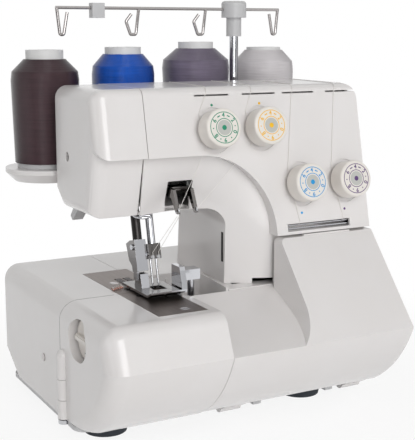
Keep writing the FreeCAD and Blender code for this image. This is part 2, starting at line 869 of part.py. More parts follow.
def make_chute():
    """The guard round the chute: a raised lip, a ribbed wall and a floor under the knives."""
    wall = cut(chute_outline("seam", "chute_floor", "bed_top + lip_height"),
               chute_outline("shell", "chute_floor + shell", "bed_top + 2 * lip_height"))
    front = box(("plate_right - shell", "platform_y - 2 * shell", "chute_floor - shell"),
                ("chute_right_back", "platform_y + front_gap + seam", "bed_top + 2 * lip_height"))
    ribs = [box((f"rib_left + {i} * rib_pitch", "chute_back - shell - rib_depth", "chute_floor + shell"),
                (f"rib_left + {i} * rib_pitch + rib_width", "chute_back - shell + seam", "bed_top - shell"))
            for i in range(4)]
    shank = cylinder(("knife_x", "knife_y", "chute_floor - shell"), "knife_shank_radius + seam", "4 * shell")
    node("chute_guard", cut(fuse(wall, *ribs), front, shank))


def screw_sink(x, y):
    """The seat of a plate screw."""
    return cylinder((x, y, "bed_top - plate_screw_depth"), "plate_screw_radius", "2 * plate_screw_depth")


def screw(x, y):
    """A flat plate screw with a slot, its head level with the plate."""
    head = cylinder((x, y, "bed_top - plate_screw_depth"), "plate_screw_radius", "plate_screw_depth")
    slot = box((f"{x} - plate_screw_radius", f"{y} - screw_slot / 2", "bed_top - screw_slot"),
               (f"{x} + plate_screw_radius", f"{y} + screw_slot / 2", "bed_top + screw_slot"))
    return cut(head, slot)


def loft(sections):
    """A smooth solid through outlines at places along X."""
    body = start_body()
    sketches = [outline(body, "YZ", x, points) for x, points in sections]
    feature = body.newObject("PartDesign::AdditiveLoft", "loft")
    feature.Profile = sketches[0]
    feature.Sections = sketches[1:]
    feature.Ruled = False
    doc.recompute()
    return body


def arm_solid(inset, right):
    """The arm and column: an L seen from the front, whose front sweeps from the head into the column."""
    step = f"step_z - seam - {inset}"
    top = f"arm_top - {inset}"
    front, rear = f"arm_front + {inset}", f"arm_rear - {inset}"
    head = [(rear, top), (front, top), (front, step), (f"undercut_top_y + {inset}", step),
            (f"undercut_low_y + {inset}", "undercut_low_z"),
            (f"undercut_low_y + undercut_lean + {inset}", "foot_height"), (rear, "foot_height"),
            (rear, "arm_bottom")]
    column = [(rear, top), (front, top), (front, step), (f"undercut_top_y - column_swell + {inset}", step),
              (f"column_brow_y + {inset}", "column_brow_z"), (f"column_front + {inset}", "foot_height"),
              (f"column_foot_rear - {inset}", "foot_height"), (rear, "arm_bottom")]
    sweep = loft([("head_left", head), ("arm_left + sweep_lead", head), ("throat_x - sweep_lead", head),
                  ("arc_x + arc_radius + column_swell", column), ("end_seam_x - 2 * sweep_lead", column),
                  ("right_face + column_swell", column)])
    left = f"arm_left + seam - 2 * ({inset})"
    bottom = f"bed_top - 2 * ({inset})"
    inside = prism("XZ", [
        (left, top), (left, f"arm_bottom + {inset}"), (f"throat_x + {inset}", f"arm_bottom + {inset}"),
        (f"throat_x + {inset}", bottom), (right, bottom), (right, top),
    ], "-2 * bed_rear", "2 * bed_rear")
    round_edges(inside, f"throat_radius + {inset}", at(x=f"throat_x + {inset}", z=f"arm_bottom + {inset}"))
    return common(sweep, inside)


def make_arm():
    """The arm housing: a hollow shell with openings for the bars and the take-up lever."""
    bars = box(("arm_left - shell", "bar_y - 2 * presser_bar_radius", "arm_bottom - shell"),
               ("needle_bar_x + 3 * needle_bar_radius", "bar_y + 6 * presser_bar_radius",
                "arm_bottom + 3 * shell"))
    take_up = box(("take_up_left - take_up_gap", "undercut_top_y - shell", "take_up_low - take_up_gap"),
                  ("take_up_left + take_up_width + take_up_gap", "undercut_low_y + 6 * shell",
                   "take_up_high"))
    slit = box(("throat_x - shell", "thread_slit_y", "thread_slit_low"),
               ("throat_x + 2 * shell", "thread_slit_y + thread_slit_width", "thread_slit_high"))
    catch = box(("catch_left", "2 * column_front", "bed_top - seam"),
                ("tall_left + 2 * shell", "column_front + 2 * shell", "bed_top + catch_height"))
    node("arm_housing", cut(arm_solid("0", "end_seam_x"), arm_solid("shell", "end_seam_x + shell"), bars,
                            take_up, slit, catch))


def head_profile(inset):
    """The head's section: panel slope above the step, undercut below it."""
    return [
        (f"arm_rear - {inset}", f"arm_top - {inset}"),
        (f"{panel_y('arm_top')} + {inset}", f"arm_top - {inset}"),
        (f"{panel_y('step_z')} + {inset}", f"step_z + {inset}"),
        (f"undercut_top_y + {inset}", f"step_z + {inset}"),
        (f"undercut_low_y + {inset}", f"head_bottom + {inset}"),
        (f"arm_rear - head_bevel_y - {inset}", f"head_bottom + {inset}"),
        (f"arm_rear - {inset}", f"head_bottom + head_bevel_z + {inset}"),
    ]


def make_head_end_cover():
    """The cover over the head's left end, a rounded shell."""
    def shell(inset, left, right):
        body = prism("YZ", head_profile(inset), left, right)
        top = f"arm_top - {inset}"
        round_edges(body, f"panel_top_radius - {inset}", at(y=f"{panel_y('arm_top')} + {inset}", z=top),
                    at(y=f"arm_rear - {inset}", z=top))
        return round_edges(body, f"head_edge_radius - head_edge_loss * ({inset})", at(x=left))

    outer = shell("0", "head_left", "arm_left")
    inner = shell("shell", "head_left + 2 * shell", "arm_left + shell")
    hole = cylinder(("head_left - shell", "head_screw_y", "head_screw_z"), "screw_hole_radius", "3 * shell",
                    "x")
    lifter = box(("lifter_x - seam * 2", "lifter_y - 2 * shell", "head_bottom - shell"),
                 ("lifter_x + lifter_width + seam * 2", "arm_rear + shell", "lifter_z + lifter_width"))
    pin = cylinder(("head_left + shell", "lifter_y", "lifter_z"), "lifter_radius",
                   "lifter_x + lifter_width + seam - head_left - shell", "x")
    node("head_end_cover", fuse(cut(outer, inner, hole, lifter), pin))


def panel_solid(inset):
    """The tension panel's block: the leaning front, cut to its curved lower left edge."""
    top = f"arm_top - {inset}"
    left = f"arm_left + seam - ({inset}) * 2"
    right = f"right_face - {inset}"
    low = f"panel_low_z + {inset}"
    section = prism("YZ", [
        (f"arm_front - seam + {inset} * 2", top), (f"{panel_y(f'({top})')} + {inset}", top),
        (f"{panel_y('(panel_low_z - shell)')} + {inset}", "panel_low_z - shell"),
        (f"arm_front - seam + {inset} * 2", "panel_low_z - shell")],
        "2 * head_left", "2 * right_face - 2 * left_face")
    round_edges(section, f"panel_top_radius - {inset}", at(y=f"{panel_y(f'({top})')} + {inset}", z=top))
    front = prism("XZ", [
        (right, top), (left, top), (left, f"step_z + {inset}"),
        ("arc_x", f"step_z + {inset}", f"-(arc_radius + {inset})"),
        (f"arc_x + arc_radius + {inset}", "step_z - arc_radius"),
        (f"arc_x + arc_radius + {inset}", low), (right, low)], "-bed_rear", "2 * bed_rear")
    round_edges(front, f"panel_corner_radius - {inset}", at(x=right, z=top))
    return common(section, front)


DIALS = {
    "left_needle_dial": ("dial_x_one", "upper_dial_z"),
    "right_needle_dial": ("dial_x_two", "upper_dial_z"),
    "upper_looper_dial": ("dial_x_three", "lower_dial_z"),
    "lower_looper_dial": ("dial_x_four", "lower_dial_z"),
}
SLITS = ("slit_x_one", "slit_x_two", "slit_x_three", "slit_x_four")
DOG_ROWS = ("dog_left_x", "dog_right_x")
DOG_TEETH = 20


def on_panel(obj, x, z):
    """Turn an object's Z axis to the panel's normal and set it on the panel."""
    return place(obj, (x, panel_y(z), z), ((1, 0, 0), "90 - panel_lean"))


def at_panel(solid, x, z):
    """A solid modelled on the Z axis, carried to the panel as it stands."""
    return on_panel(group(solid), x, z)


def make_panel():
    """The tension panel with its dished dial seats, thread slits and the slot over the looper guide."""
    dishes = [at_panel(cylinder(("0", "0", "-dial_dish_depth"), "dial_dish_radius", "4 * shell"), x, z)
              for x, z in DIALS.values()]
    holes = [at_panel(cylinder(("0", "0", "-4 * shell"), "post_radius", "8 * shell"), x, z)
             for x, z in DIALS.values()]
    slot = box(("slot_left", "2 * panel_low_y", "slot_low_z"),
               ("slot_left + slot_length", "panel_low_y + 3 * shell", "slot_low_z + slot_height"))
    slits = [box((x, "2 * panel_low_y", "slit_z"),
                 (f"{x} + slit_length", "arm_front - 2 * shell", "slit_z + slit_height")) for x in SLITS]
    node("tension_panel", cut(panel_solid("0"), panel_solid("shell"), arm_solid("-seam", "end_seam_x + seam"),
                              *dishes, *holes, slot, *slits))


def make_dials():
    """The four tension dials on their posts."""
    posts = []
    for name, (x, z) in DIALS.items():
        knob = revolve([
            ("post_radius + running_gap", "dial_back_gap"), ("dial_neck_radius", "dial_back_gap"),
            ("dial_neck_radius", "dial_lift"), ("dial_radius", "dial_lift"),
            ("dial_radius", "dial_face - dial_edge", "dial_edge"), ("dial_radius - dial_edge", "dial_face"),
            ("0", "dial_face"), ("0", "post_reach + running_gap"),
            ("post_radius + running_gap", "post_reach + running_gap")])
        node(name, at_panel(knob, x, z))
        stud = cylinder(("0", "0", "-shell - nut_height"), "post_radius", "shell + nut_height + post_reach")
        nut = cylinder(("0", "0", "-shell - nut_height"), "nut_radius", "nut_height")
        posts.append(at_panel(fuse(stud, nut), x, z))
    node("tension_posts", group(*posts))


def make_right_end():
    """The right end cover, the power inlet, the rocker switch and two feed knobs."""
    def shell(inset, left, right):
        body = prism("YZ", [
            (f"arm_rear - {inset}", f"arm_top - {inset}"), (f"arm_front + {inset}", f"arm_top - {inset}"),
            (f"arm_front + {inset}", f"panel_low_z - front_gap - {inset}"),
            (f"cover_back + front_gap + {inset}", f"panel_low_z - front_gap - {inset}"),
            (f"cover_back + front_gap + {inset}", PAN_TOP),
            (f"rear_bevel_y - {inset}", PAN_TOP), (f"bed_rear - {inset}", f"rear_bevel_z + {inset}"),
            (f"bed_rear - {inset}", f"bed_top - {inset}"), (f"column_rear - {inset}", f"bed_top - {inset}"),
            (f"arm_rear - {inset}", "arm_bottom"),
        ], left, right)
        face = at(x=right)
        front, low = value("arm_front") + 1, value(PAN_TOP) + 1
        return round_edges(body, f"rear_edge_radius - {inset}",
                           lambda e: face(e) and e.CenterOfMass.y > front and e.CenterOfMass.z > low)

    outer = shell("0", "end_seam_x + seam", "right_face")
    inner = shell("shell", "end_seam_x - shell", "right_face - shell")
    through = "right_face - 4 * shell"
    shaft_hole = cylinder((through, "shaft_y", "shaft_z"), "shaft_radius + seam", "8 * shell", "x")
    inlet_hole = centred_block("inlet", through, "8 * shell", "0")
    switch_hole = centred_block("switch", through, "8 * shell", "switch_gap")
    knob_holes = [cylinder((through, y, z), "knob_shaft_radius", "8 * shell", "x") for y, z in KNOBS.values()]
    pivot = [cylinder(("right_face - shell / 2", "switch_y - switch_width", "switch_z"), radius,
                      "2 * switch_width", "y") for radius in ("switch_pin", "switch_pin + running_gap")]
    end = cut(outer, inner, shaft_hole, inlet_hole, switch_hole, *knob_holes)
    node("right_end_cover", fuse(end, pivot[0]))
    socket_floor = "right_face - inlet_depth"
    socket = cut(centred_block("inlet", socket_floor, "inlet_depth + inlet_proud", "0"),
                 centred_block("inlet", f"{socket_floor} + shell", "inlet_depth + inlet_proud", "-shell"))
    prongs = [cylinder((f"{socket_floor} + shell", f"inlet_y + {i} * inlet_width / 4", "inlet_z"),
                       "shell / 2", "inlet_depth / 2", "x") for i in (-1, 0, 1)]
    node("power_inlet", fuse(socket, *prongs))
    low, high = "switch_z - switch_height / 2", "switch_z + switch_height / 2"
    behind, proud = "right_face - switch_proud", "right_face + switch_proud"
    rocker = prism("XZ", [(behind, low), (proud, low), ("right_face + switch_proud / 2", "switch_z"),
                          (proud, high), (behind, high), ("right_face - 3 * switch_proud", "switch_z")],
                   "-switch_y - switch_width / 2", "-switch_y + switch_width / 2")
    node("power_switch", cut(rocker, pivot[1]))
    for name, (y, z) in KNOBS.items():
        cap = revolve([("0", "-shell - nut_height"),
                       ("knob_shaft_radius - running_gap", "-shell - nut_height"),
                       ("knob_shaft_radius - running_gap", "knob_gap"), ("knob_radius", "knob_gap"),
                       ("knob_radius", "knob_gap + knob_height - dial_edge", "dial_edge"),
                       ("knob_radius - dial_edge", "knob_gap + knob_height"),
                       ("0", "knob_gap + knob_height")])
        node(name, place(group(cap), ("right_face", y, z), ((0, 1, 0), "90")))


KNOBS = {
    "stitch_length_knob": ("stitch_knob_y", "stitch_knob_z"),
    "differential_feed_knob": ("feed_knob_y", "feed_knob_z"),
}


def centred_block(stem, left, length, grow):
    """A block on the right end, centred on the named inlet or switch."""
    half_width, half_height = f"({stem}_width / 2 + {grow})", f"({stem}_height / 2 + {grow})"
    return box((left, f"{stem}_y - {half_width}", f"{stem}_z - {half_height}"),
               (f"{left} + {length}", f"{stem}_y + {half_width}", f"{stem}_z + {half_height}"))


def make_base():
    """The base pan with its rod brackets, and the rubber feet."""
    left, right, back = "left_face + pan_inset", "right_face - pan_inset", "rear_bevel_y - pan_inset"
    plan = prism("XY", [(left, back), (left, "pan_front"), (right, "pan_front"), (right, back)],
                 "foot_height", PAN_TOP)
    round_edges(plan, "pan_corner", lambda e: e.BoundBox.ZLength > value("pan_thickness") / 2)
    bosses = [cylinder((x, y, "foot_height"), "boss_radius", "pan_thickness + deck_lift")
              for x in ("foot_left", "foot_right") for y in ("foot_back", "deck_front + 2 * boss_radius")]
    brackets = [box((x, "cover_axis_y - lug_radius", "cover_axis_z - rod_radius - seam"),
                    (f"{x} + bracket_width", "pan_front + boss_radius", "cover_axis_z + lug_radius"))
                for x in ("left_bracket_x", "right_bracket_x")]
    bore = cylinder(("left_lug_x", "cover_axis_y", "cover_axis_z"), "rod_radius + running_gap",
                    "right_face - left_face", "x")
    pin_room = cylinder(("left_face", "hinge_y", "0"), "barrel_radius + seam", "bed_top")
    node("base_pan", cut(fuse(plan, *bosses, *brackets), bore, pin_room))
    node("feet", group(*[cone((x, y, "0"), "foot_radius - foot_taper", "foot_radius", "foot_height")
                         for x in ("foot_left", "foot_right") for y in ("foot_front", "foot_back")]))
    node("cover_hinge_rod", cylinder(("left_lug_x - lug_radius", "cover_axis_y", "cover_axis_z"),
                                     "rod_radius", "right_lug_x + lug_width - left_lug_x + lug_radius", "x"))


DECK_LOW = f"{PAN_TOP} + deck_lift"
DECK_TOP = f"{DECK_LOW} + deck_thickness"
TONGUE_LOW = "cover_axis_z + 2 * lug_radius"


def make_chassis():
    """The cast chassis: deck, bearing walls, column post and arm beam."""
    deck = box(("deck_left", "deck_front", DECK_LOW), ("deck_right", "deck_back", DECK_TOP))
    tongue = fuse(box(("tongue_left", "tongue_front", TONGUE_LOW),
                      ("tongue_right", "deck_front + deck_thickness", f"{TONGUE_LOW} + deck_thickness")),
                  box(("tongue_left", "deck_front", DECK_LOW),
                      ("tongue_right", "deck_front + deck_thickness", f"{TONGUE_LOW} + deck_thickness")))
    seats = [box((x, "deck_front + shell", DECK_LOW),
                 (f"{x} + wall_width", "plate_rear - shell", "bed_top - plate_thickness"))
             for x in ("wall_a_x", "wall_b_x")]
    wall_c = box(("wall_c_x", "post_front", DECK_LOW),
                 ("wall_c_x + wall_width", "plate_rear", "bed_top - 4 * shell"))
    looper_wall = box(("tongue_left", "looper_wall_y", TONGUE_LOW),
                      ("tongue_right", "looper_wall_y + looper_wall_depth", "looper_wall_top"))
    guide = box(("knife_x - 2 * knife_shank_radius", "looper_wall_y",
                 "looper_wall_top - 4 * knife_shank_radius"),
                ("knife_x + 2 * knife_shank_radius", "knife_y + 2 * knife_shank_radius", "looper_wall_top"))
    post = box(("post_left", "post_front", DECK_LOW), ("post_right", "post_back", "post_top"))
    beam = box(("beam_left", "beam_front", "beam_low"), ("post_left", "post_back", "post_top"))
    lug_left, lug_right = "take_up_left + take_up_width + seam", "take_up_left + take_up_width + wall_width"
    lug_low = "take_up_z - 1.5 * take_up_radius"
    lug = fuse(box((lug_left, "take_up_y - 1.5 * take_up_radius", lug_low),
                   (lug_right, "beam_front + wall_width", "take_up_z + 2 * take_up_radius")),
               box((lug_left, "beam_front", lug_low),
                   (lug_right, "beam_front + wall_width", "beam_low + wall_width")))
    arm_back, arm_high, arm_low = "deck_front + wall_width", "window_z + wall_width", "window_z - wall_width"
    arm = prism("YZ", [(arm_back, DECK_LOW), (arm_back, arm_high), ("window_y - wall_width", arm_high),
                       ("window_y - wall_width", arm_low), ("deck_front", arm_low), ("deck_front", DECK_LOW)],
                "width_dial_x + width_dial_depth + seam", "width_dial_x + width_dial_depth + wall_width")
    dial_place = ("width_dial_x", "window_y", "window_z")
    bores = [cylinder(("shaft_left", "shaft_y", "shaft_z"), "bush_radius", "pulley_x - shaft_left", "x"),
             cylinder(("knife_x", "knife_y", "bed_top / 2"), "knife_shank_radius + running_gap", "bed_top"),
             cylinder(("take_up_left", "take_up_y", "take_up_z"), "take_up_radius + running_gap",
                      "2 * take_up_width", "x"),
             cylinder(dial_place, "knob_shaft_radius + running_gap", "2 * width_dial_depth", "x")]
    bores += [cylinder((f"{looper}_x", "2 * looper_wall_y", f"{looper}_z"),
                       "looper_shaft_radius + running_gap", "-2 * looper_wall_y", "y")
              for looper in ("lower_looper", "upper_looper")]
    dial = fuse(cylinder(dial_place, "width_dial_radius", "width_dial_depth", "x"),
                cylinder(dial_place, "knob_shaft_radius", "2 * width_dial_depth", "x"),
                box(("width_dial_x - shell / 2", "window_y - width_dial_radius + shell", "window_z - shell"),
                    ("width_dial_x", "window_y + width_dial_radius - shell", "window_z + shell")))
    node("width_dial", dial)
    return cut(fuse(deck, tongue, *seats, wall_c, looper_wall, guide, post, beam, lug, arm), *bores)


def belt_loop(gap):
    """The closed line round both pulleys at a gap from them, as a face across X."""
    big, small = value("pulley_radius") + gap, value("motor_pulley_radius") + gap
    near = Vector(0, value("shaft_y"), value("shaft_z"))
    far = Vector(0, value("motor_y"), value("motor_z"))
    along = (far - near).normalize()
    up = Vector(1, 0, 0).cross(along)
    lean = math.asin((big - small) / (far - near).Length)
    sides = [along * math.sin(lean) + up * (sign * math.cos(lean)) for sign in (1, -1)]
    top = Part.LineSegment(near + sides[0] * big, far + sides[0] * small)
    low = Part.LineSegment(far + sides[1] * small, near + sides[1] * big)
    nose = Part.Arc(top.EndPoint, far + along * small, low.StartPoint)
    back = Part.Arc(low.EndPoint, near - along * big, top.StartPoint)
    return Part.Face(Part.Wire([c.toShape() for c in (top, nose, low, back)]))


def make_drive():
    """Main shaft with its pulley and cams, handwheel, motor, motor pulley and belt."""
    line = ("shaft_y", "shaft_z")
    cams = [cylinder((x, "shaft_y + shaft_radius / 2", "shaft_z"), "2 * shaft_radius", "wall_width", "x")
            for x in ("wall_b_x + 3 * wall_width", "wall_c_x - 3 * wall_width")]
    shaft = cylinder(("shaft_left", *line), "shaft_radius", "wheel_right - shaft_left - shell", "x")
    wheel = cylinder(("pulley_x", *line), "pulley_radius + shell", "pulley_width", "x")
    groove = cut(cylinder(("pulley_x + shell / 2", *line), "2 * pulley_radius", "pulley_width - shell", "x"),
                 cylinder(("pulley_x", *line), "pulley_radius", "pulley_width", "x"))
    node("main_shaft", cut(fuse(shaft, wheel, *cams), groove))
    rim = "wheel_right - wheel_left"
    hand = revolve([("shaft_radius", "0"), ("wheel_radius - 2 * dial_edge", "0"),
                    ("wheel_radius", "2 * dial_edge"),
                    ("wheel_radius", f"{rim} - 2 * dial_edge", "2 * dial_edge"),
                    ("wheel_radius - 2 * dial_edge", rim), ("wheel_radius - 3 * dial_edge", rim),
                    ("wheel_radius - 4 * dial_edge", f"{rim} - 2 * dial_edge"),
                    ("2 * shaft_radius", f"{rim} - 2 * dial_edge"),
                    ("2 * shaft_radius", f"{rim} - dial_edge"),
                    ("0", f"{rim} - dial_edge"), ("0", f"{rim} - shell"), ("shaft_radius", f"{rim} - shell")])
    node("handwheel", place(group(hand), ("wheel_left", *line), ((0, 1, 0), "90")))
    axis = ("motor_y", "motor_z")
    can = cylinder(("motor_left", *axis), "motor_radius", "motor_length", "x")
    nose = cone(("motor_left + motor_length", *axis), "motor_radius / 2", "motor_radius / 3", "2 * shell",
                "x")
    cradle = box(("motor_left + wall_width", "motor_y - motor_radius / 2", DECK_TOP),
                 ("motor_left + motor_length - wall_width", "motor_y + motor_radius / 2", "motor_z"))
    bore = cylinder(("motor_left + motor_length / 2", *axis), "motor_shaft_radius + running_gap",
                    "motor_length", "x")
    node("motor", cut(fuse(can, nose, cradle), bore))
    spindle_left = "motor_left + 0.6 * motor_length"
    spindle = cylinder((spindle_left, *axis), "motor_shaft_radius",
                       f"pulley_x + pulley_width - ({spindle_left})", "x")
    small_groove = cut(cylinder(("pulley_x + shell / 2", *axis), "2 * motor_pulley_radius",
                                "pulley_width - shell", "x"),
                       cylinder(("pulley_x", *axis), "motor_pulley_radius", "pulley_width", "x"))
    small = cut(cylinder(("pulley_x", *axis), "motor_pulley_radius + shell", "pulley_width", "x"),
                small_groove)
    node("motor_pulley", fuse(small, spindle))
    gap = value("belt_gap")
    ring = belt_loop(gap + value("belt_thickness")).cut(belt_loop(gap))
    belt = doc.addObject("Part::Feature", "belt")
    belt.Shape = ring.extrude(Vector(value("belt_width"), 0, 0))
    node("drive_belt", place(belt, ("pulley_x + (pulley_width - belt_width) / 2", "0", "0")))


def leaning(obj):
    """Stand an object modelled upright along the leaning needle bar."""
    return place(group(obj), ("0", "bar_y", "bar_z"), ((1, 0, 0), "-bar_tilt"))


def make_sewing_head(chassis):
    """The head casting with its bushes, both bars, the needle clamp with needles, presser holder and foot."""
    bars = {"needle": ("needle_bar_x", "0"), "presser": ("presser_bar_x", "presser_bar_back")}
    back = "bush_wall + presser_bar_radius + presser_bar_back"
    left = "presser_bar_x - presser_bar_radius - bar_lug_height"
    web = box((left, back, "lug_low"), ("beam_left", f"{back} + wall_width", "lug_high + bar_lug_height"))
    lugs = [box((left, "-needle_bar_radius - 2 * bush_wall", w),
                ("needle_bar_x + needle_bar_radius + 2 * bush_wall", back, f"{w} + bar_lug_height"))
            for w in ("lug_low", "lug_high")]
    bores = [cylinder((x, y, "0"), f"{name}_bar_radius + bush_wall", "2 * lug_high")
             for name, (x, y) in bars.items()]
    casting = leaning(cut(fuse(web, *lugs), *bores))
    node("chassis", fuse(chassis, casting))
    bushes = [cut(cylinder((x, "shaft_y", "shaft_z"), "bush_radius", "wall_width", "x"),
                  cylinder((x, "shaft_y", "shaft_z"), "shaft_radius + running_gap", "wall_width", "x"))
              for x in ("wall_a_x", "wall_b_x", "wall_c_x")]
    bushes += [leaning(cut(cylinder((x, y, w), f"{name}_bar_radius + bush_wall", "bar_lug_height"),
                          cylinder((x, y, w), f"{name}_bar_radius + running_gap", "bar_lug_height")))
              for name, (x, y) in bars.items() for w in ("lug_low", "lug_high")]
    node("bushings", group(*bushes))
    bar_top = "lug_high + 2 * bar_lug_height"
    for name, (x, y) in bars.items():
        node(f"{name}_bar", leaning(cylinder((x, y, f"{name}_bar_low"), f"{name}_bar_radius",
                                             f"{bar_top} - {name}_bar_low")))
    clamp = cut(box(("needle_bar_x - clamp_half", "-clamp_half", "needle_bar_low - clamp_height / 2"),
                    ("needle_bar_x + clamp_half", "clamp_half", "needle_bar_low + clamp_height / 2")),
                cylinder(("needle_bar_x", "0", "needle_bar_low"), "needle_bar_radius", "clamp_height"))
    needle_bores = [cylinder((f"needle_bar_x {sign} needle_pitch / 2", "0", "needle_tip"), "needle_radius",
                             "needle_seat - needle_tip") for sign in "+-"]
    node("needle_clamp", leaning(cut(clamp, *needle_bores)))
    needles = []
    for sign in "+-":
        x = f"needle_bar_x {sign} needle_pitch / 2"
        shank = cylinder((x, "0", "needle_tip + needle_point"), "needle_radius",
                         "needle_seat - needle_tip - needle_point")
        point = cone((x, "0", "needle_tip"), "needle_radius / 4", "needle_radius", "needle_point")
        needles.append(leaning(fuse(shank, point)))
    node("needles", group(*needles))


def make_holder():
    """The presser holder on its bar and the hinged presser foot."""
    left, right = "presser_bar_x - holder_half", "presser_bar_x + holder_half"
    front, back = "presser_bar_back - holder_half", "presser_bar_back + holder_half"
    block = box((left, front, "holder_low"), (right, back, "holder_high"))
    bore = cylinder(("presser_bar_x", "presser_bar_back", "presser_bar_low"), "presser_bar_radius",
                    "holder_high - holder_low")
    fin = prism("YZ", [(back, "holder_high"), (back, "holder_low + fin_lift"),
                       (f"{back} + holder_half", "holder_low + 2 * fin_lift"),
                       (f"{back} + 1.6 * holder_half", "holder_high - fin_lift / 2")],
                left, f"{left} + shell")
    cheek = box((left, "foot_pivot_y - 2 * foot_pin", "foot_pivot_z - 2 * foot_pin"),
                (f"{left} + shell", "foot_pivot_y + 2 * foot_pin", "foot_pivot_z + clamp_height"))
    pin = cylinder((left, "foot_pivot_y", "foot_pivot_z"), "foot_pin", "2 * holder_half", "x")
    pin_bore = cylinder((left, "foot_pivot_y", "foot_pivot_z"), "foot_pin + running_gap",
                        "4 * holder_half", "x")
    node("presser_holder", fuse(leaning(cut(fuse(block, fin), bore)), cheek, pin))
    low = "bed_top + foot_clear"
    top = f"{low} + foot_sole"
    sole = prism("YZ", [("foot_heel_y", low), ("foot_toe_y + toe_length", low),
                        ("foot_toe_y", f"{low} + toe_rise"), ("foot_toe_y", f"{low} + toe_rise + toe_edge"),
                        ("foot_toe_y + toe_length", top), ("foot_heel_y", top)],
                 "foot_left_x", "foot_right_x")
    ankle_top = "foot_pivot_z + ankle_above"
    ankle = prism("YZ", [("foot_pivot_y + 2 * ankle_half", low), ("foot_pivot_y + ankle_half", ankle_top),
                         ("foot_pivot_y - ankle_half", ankle_top), ("foot_pivot_y - 2 * ankle_half", low)],
                  f"{left} + shell + seam", right)
    slot = box(("needle_bar_x - needle_hole_x", "needle_hole_back - needle_hole_y", "bed_top"),
               ("needle_bar_x + needle_hole_x", "needle_hole_back", "bed_top + 4 * foot_sole"))
    node("presser_foot", cut(fuse(sole, ankle), slot, pin_bore))


def make_loopers():
    """Upper and lower looper on their shafts, the feed dogs and both knives."""
    for name in ("lower_looper", "upper_looper"):
        x, z, front = f"{name}_x", f"{name}_z", f"{name}_front"
        shaft = cylinder((x, front, z), "looper_shaft_radius",
                         f"looper_wall_y + 3 * looper_wall_depth - {front}", "y")
        heel, neck = f"{z} - looper_shaft_radius", f"{x} - looper_neck"
        arm = prism("XZ", [
            (f"{x} + looper_hub", heel), (f"{x} + looper_hub", f"{z} + looper_hub"),
            (neck, f"{z} + looper_rise - looper_hub"),
            (f"{x} - looper_reach + looper_tip", f"{z} + looper_rise", "looper_curve"),
            (f"{x} - looper_reach", f"{z} + looper_rise - looper_tip / 2"),
            (f"{neck} - looper_tip", f"{z} + looper_rise - 2.6 * looper_hub"), (f"{x} - looper_hub", heel)],
            f"-{front} - looper_thickness", f"-{front}")
        node(name, fuse(shaft, arm))
    bars = []
    for x in DOG_ROWS:
        teeth = [(f"dog_front + {i} * dog_tooth", f"bed_top {'-' if i % 2 else '+'} dog_rise")
                 for i in range(DOG_TEETH + 1)]
        bars.append(prism("YZ", teeth[::-1] + [("dog_front", "bed_top - 4 * dog_tooth"),
                                               (teeth[-1][0], "bed_top - 4 * dog_tooth")],
                          f"{x} - dog_width / 2", f"{x} + dog_width / 2"))
    carrier = box(("wall_a_x + wall_width + seam", "dog_front", "bed_top - 8 * dog_tooth"),
                  ("wall_b_x - seam", f"dog_front + {DOG_TEETH} * dog_tooth", "bed_top - 4 * dog_tooth"))
    node("feed_dogs", fuse(carrier, *bars))
    front, back = "knife_y - knife_length / 2", "knife_y + knife_length / 2"
    blade = prism("YZ", [(back, "knife_low"), (back, "knife_high"),
                         ("knife_y - knife_length / 4", "knife_high"),
                         (front, "knife_low + 2 * knife_shank_radius"), (front, "knife_low")],
                  "knife_left", "knife_left + knife_width")
    arm = box(("knife_left", "knife_y - 2 * knife_shank_radius", "knife_high - 4 * knife_shank_radius"),
              ("knife_x + 2 * knife_shank_radius", "knife_y + 2 * knife_shank_radius",
               "knife_high - knife_shank_radius"))
    shank = cylinder(("knife_x", "knife_y", "looper_wall_top - 8 * knife_shank_radius"), "knife_shank_radius",
                     "knife_high - looper_wall_top + 6 * knife_shank_radius")
    node("upper_knife", fuse(blade, arm, shank))
    node("lower_knife", box(("plate_right + 4 * plate_gap", front, "chute_floor + shell"),
                            ("knife_left - seam", back, "bed_top - seam")))


def make_take_up():
    """The take-up lever with two arms, and the presser lifter behind the head."""
    rod = cylinder(("take_up_left", "take_up_y", "take_up_z"), "take_up_radius", "take_up_width + wall_width",
                   "x")
    high, low = "take_up_z + 1.3 * take_up_radius", "take_up_z - take_up_radius"
    tip_z = "take_up_z - take_up_drop"
    root = "take_up_y + 1.3 * take_up_radius"
    arms = [prism("YZ", [(root, low), (root, high),
                         ("take_up_y - take_up_drop", "take_up_z + take_up_radius / 2"),
                         ("take_up_y - take_up_reach", tip_z),
                         ("take_up_y - take_up_reach + take_up_plate", tip_z),
                         ("take_up_y - take_up_drop + take_up_plate", "take_up_z - 2 * take_up_radius")],
                  x, f"{x} + take_up_plate")
            for x in ("take_up_left", "take_up_left + take_up_width - take_up_plate")]
    node("take_up_lever", fuse(rod, *arms))
    hub = cylinder(("lifter_x", "lifter_y", "lifter_z"), "1.8 * lifter_radius", "lifter_width", "x")
    handle = prism("YZ", [("lifter_y - lifter_radius", "lifter_z - 1.6 * lifter_radius"),
                          ("lifter_y + 0.7 * lifter_reach", "lifter_z - 0.75 * lifter_reach"),
                          ("lifter_y + 0.82 * lifter_reach", "lifter_z - 0.66 * lifter_reach"),
                          ("lifter_y + 1.6 * lifter_radius", "lifter_z + lifter_radius")],
                   "lifter_x", "lifter_x + lifter_width")
    pin_bore = cylinder(("head_left", "lifter_y", "lifter_z"), "lifter_radius + running_gap",
                        "right_face - left_face", "x")
    node("presser_lever", cut(fuse(hub, handle), pin_bore))


CONES = ("brown", "blue", "violet", "silver")


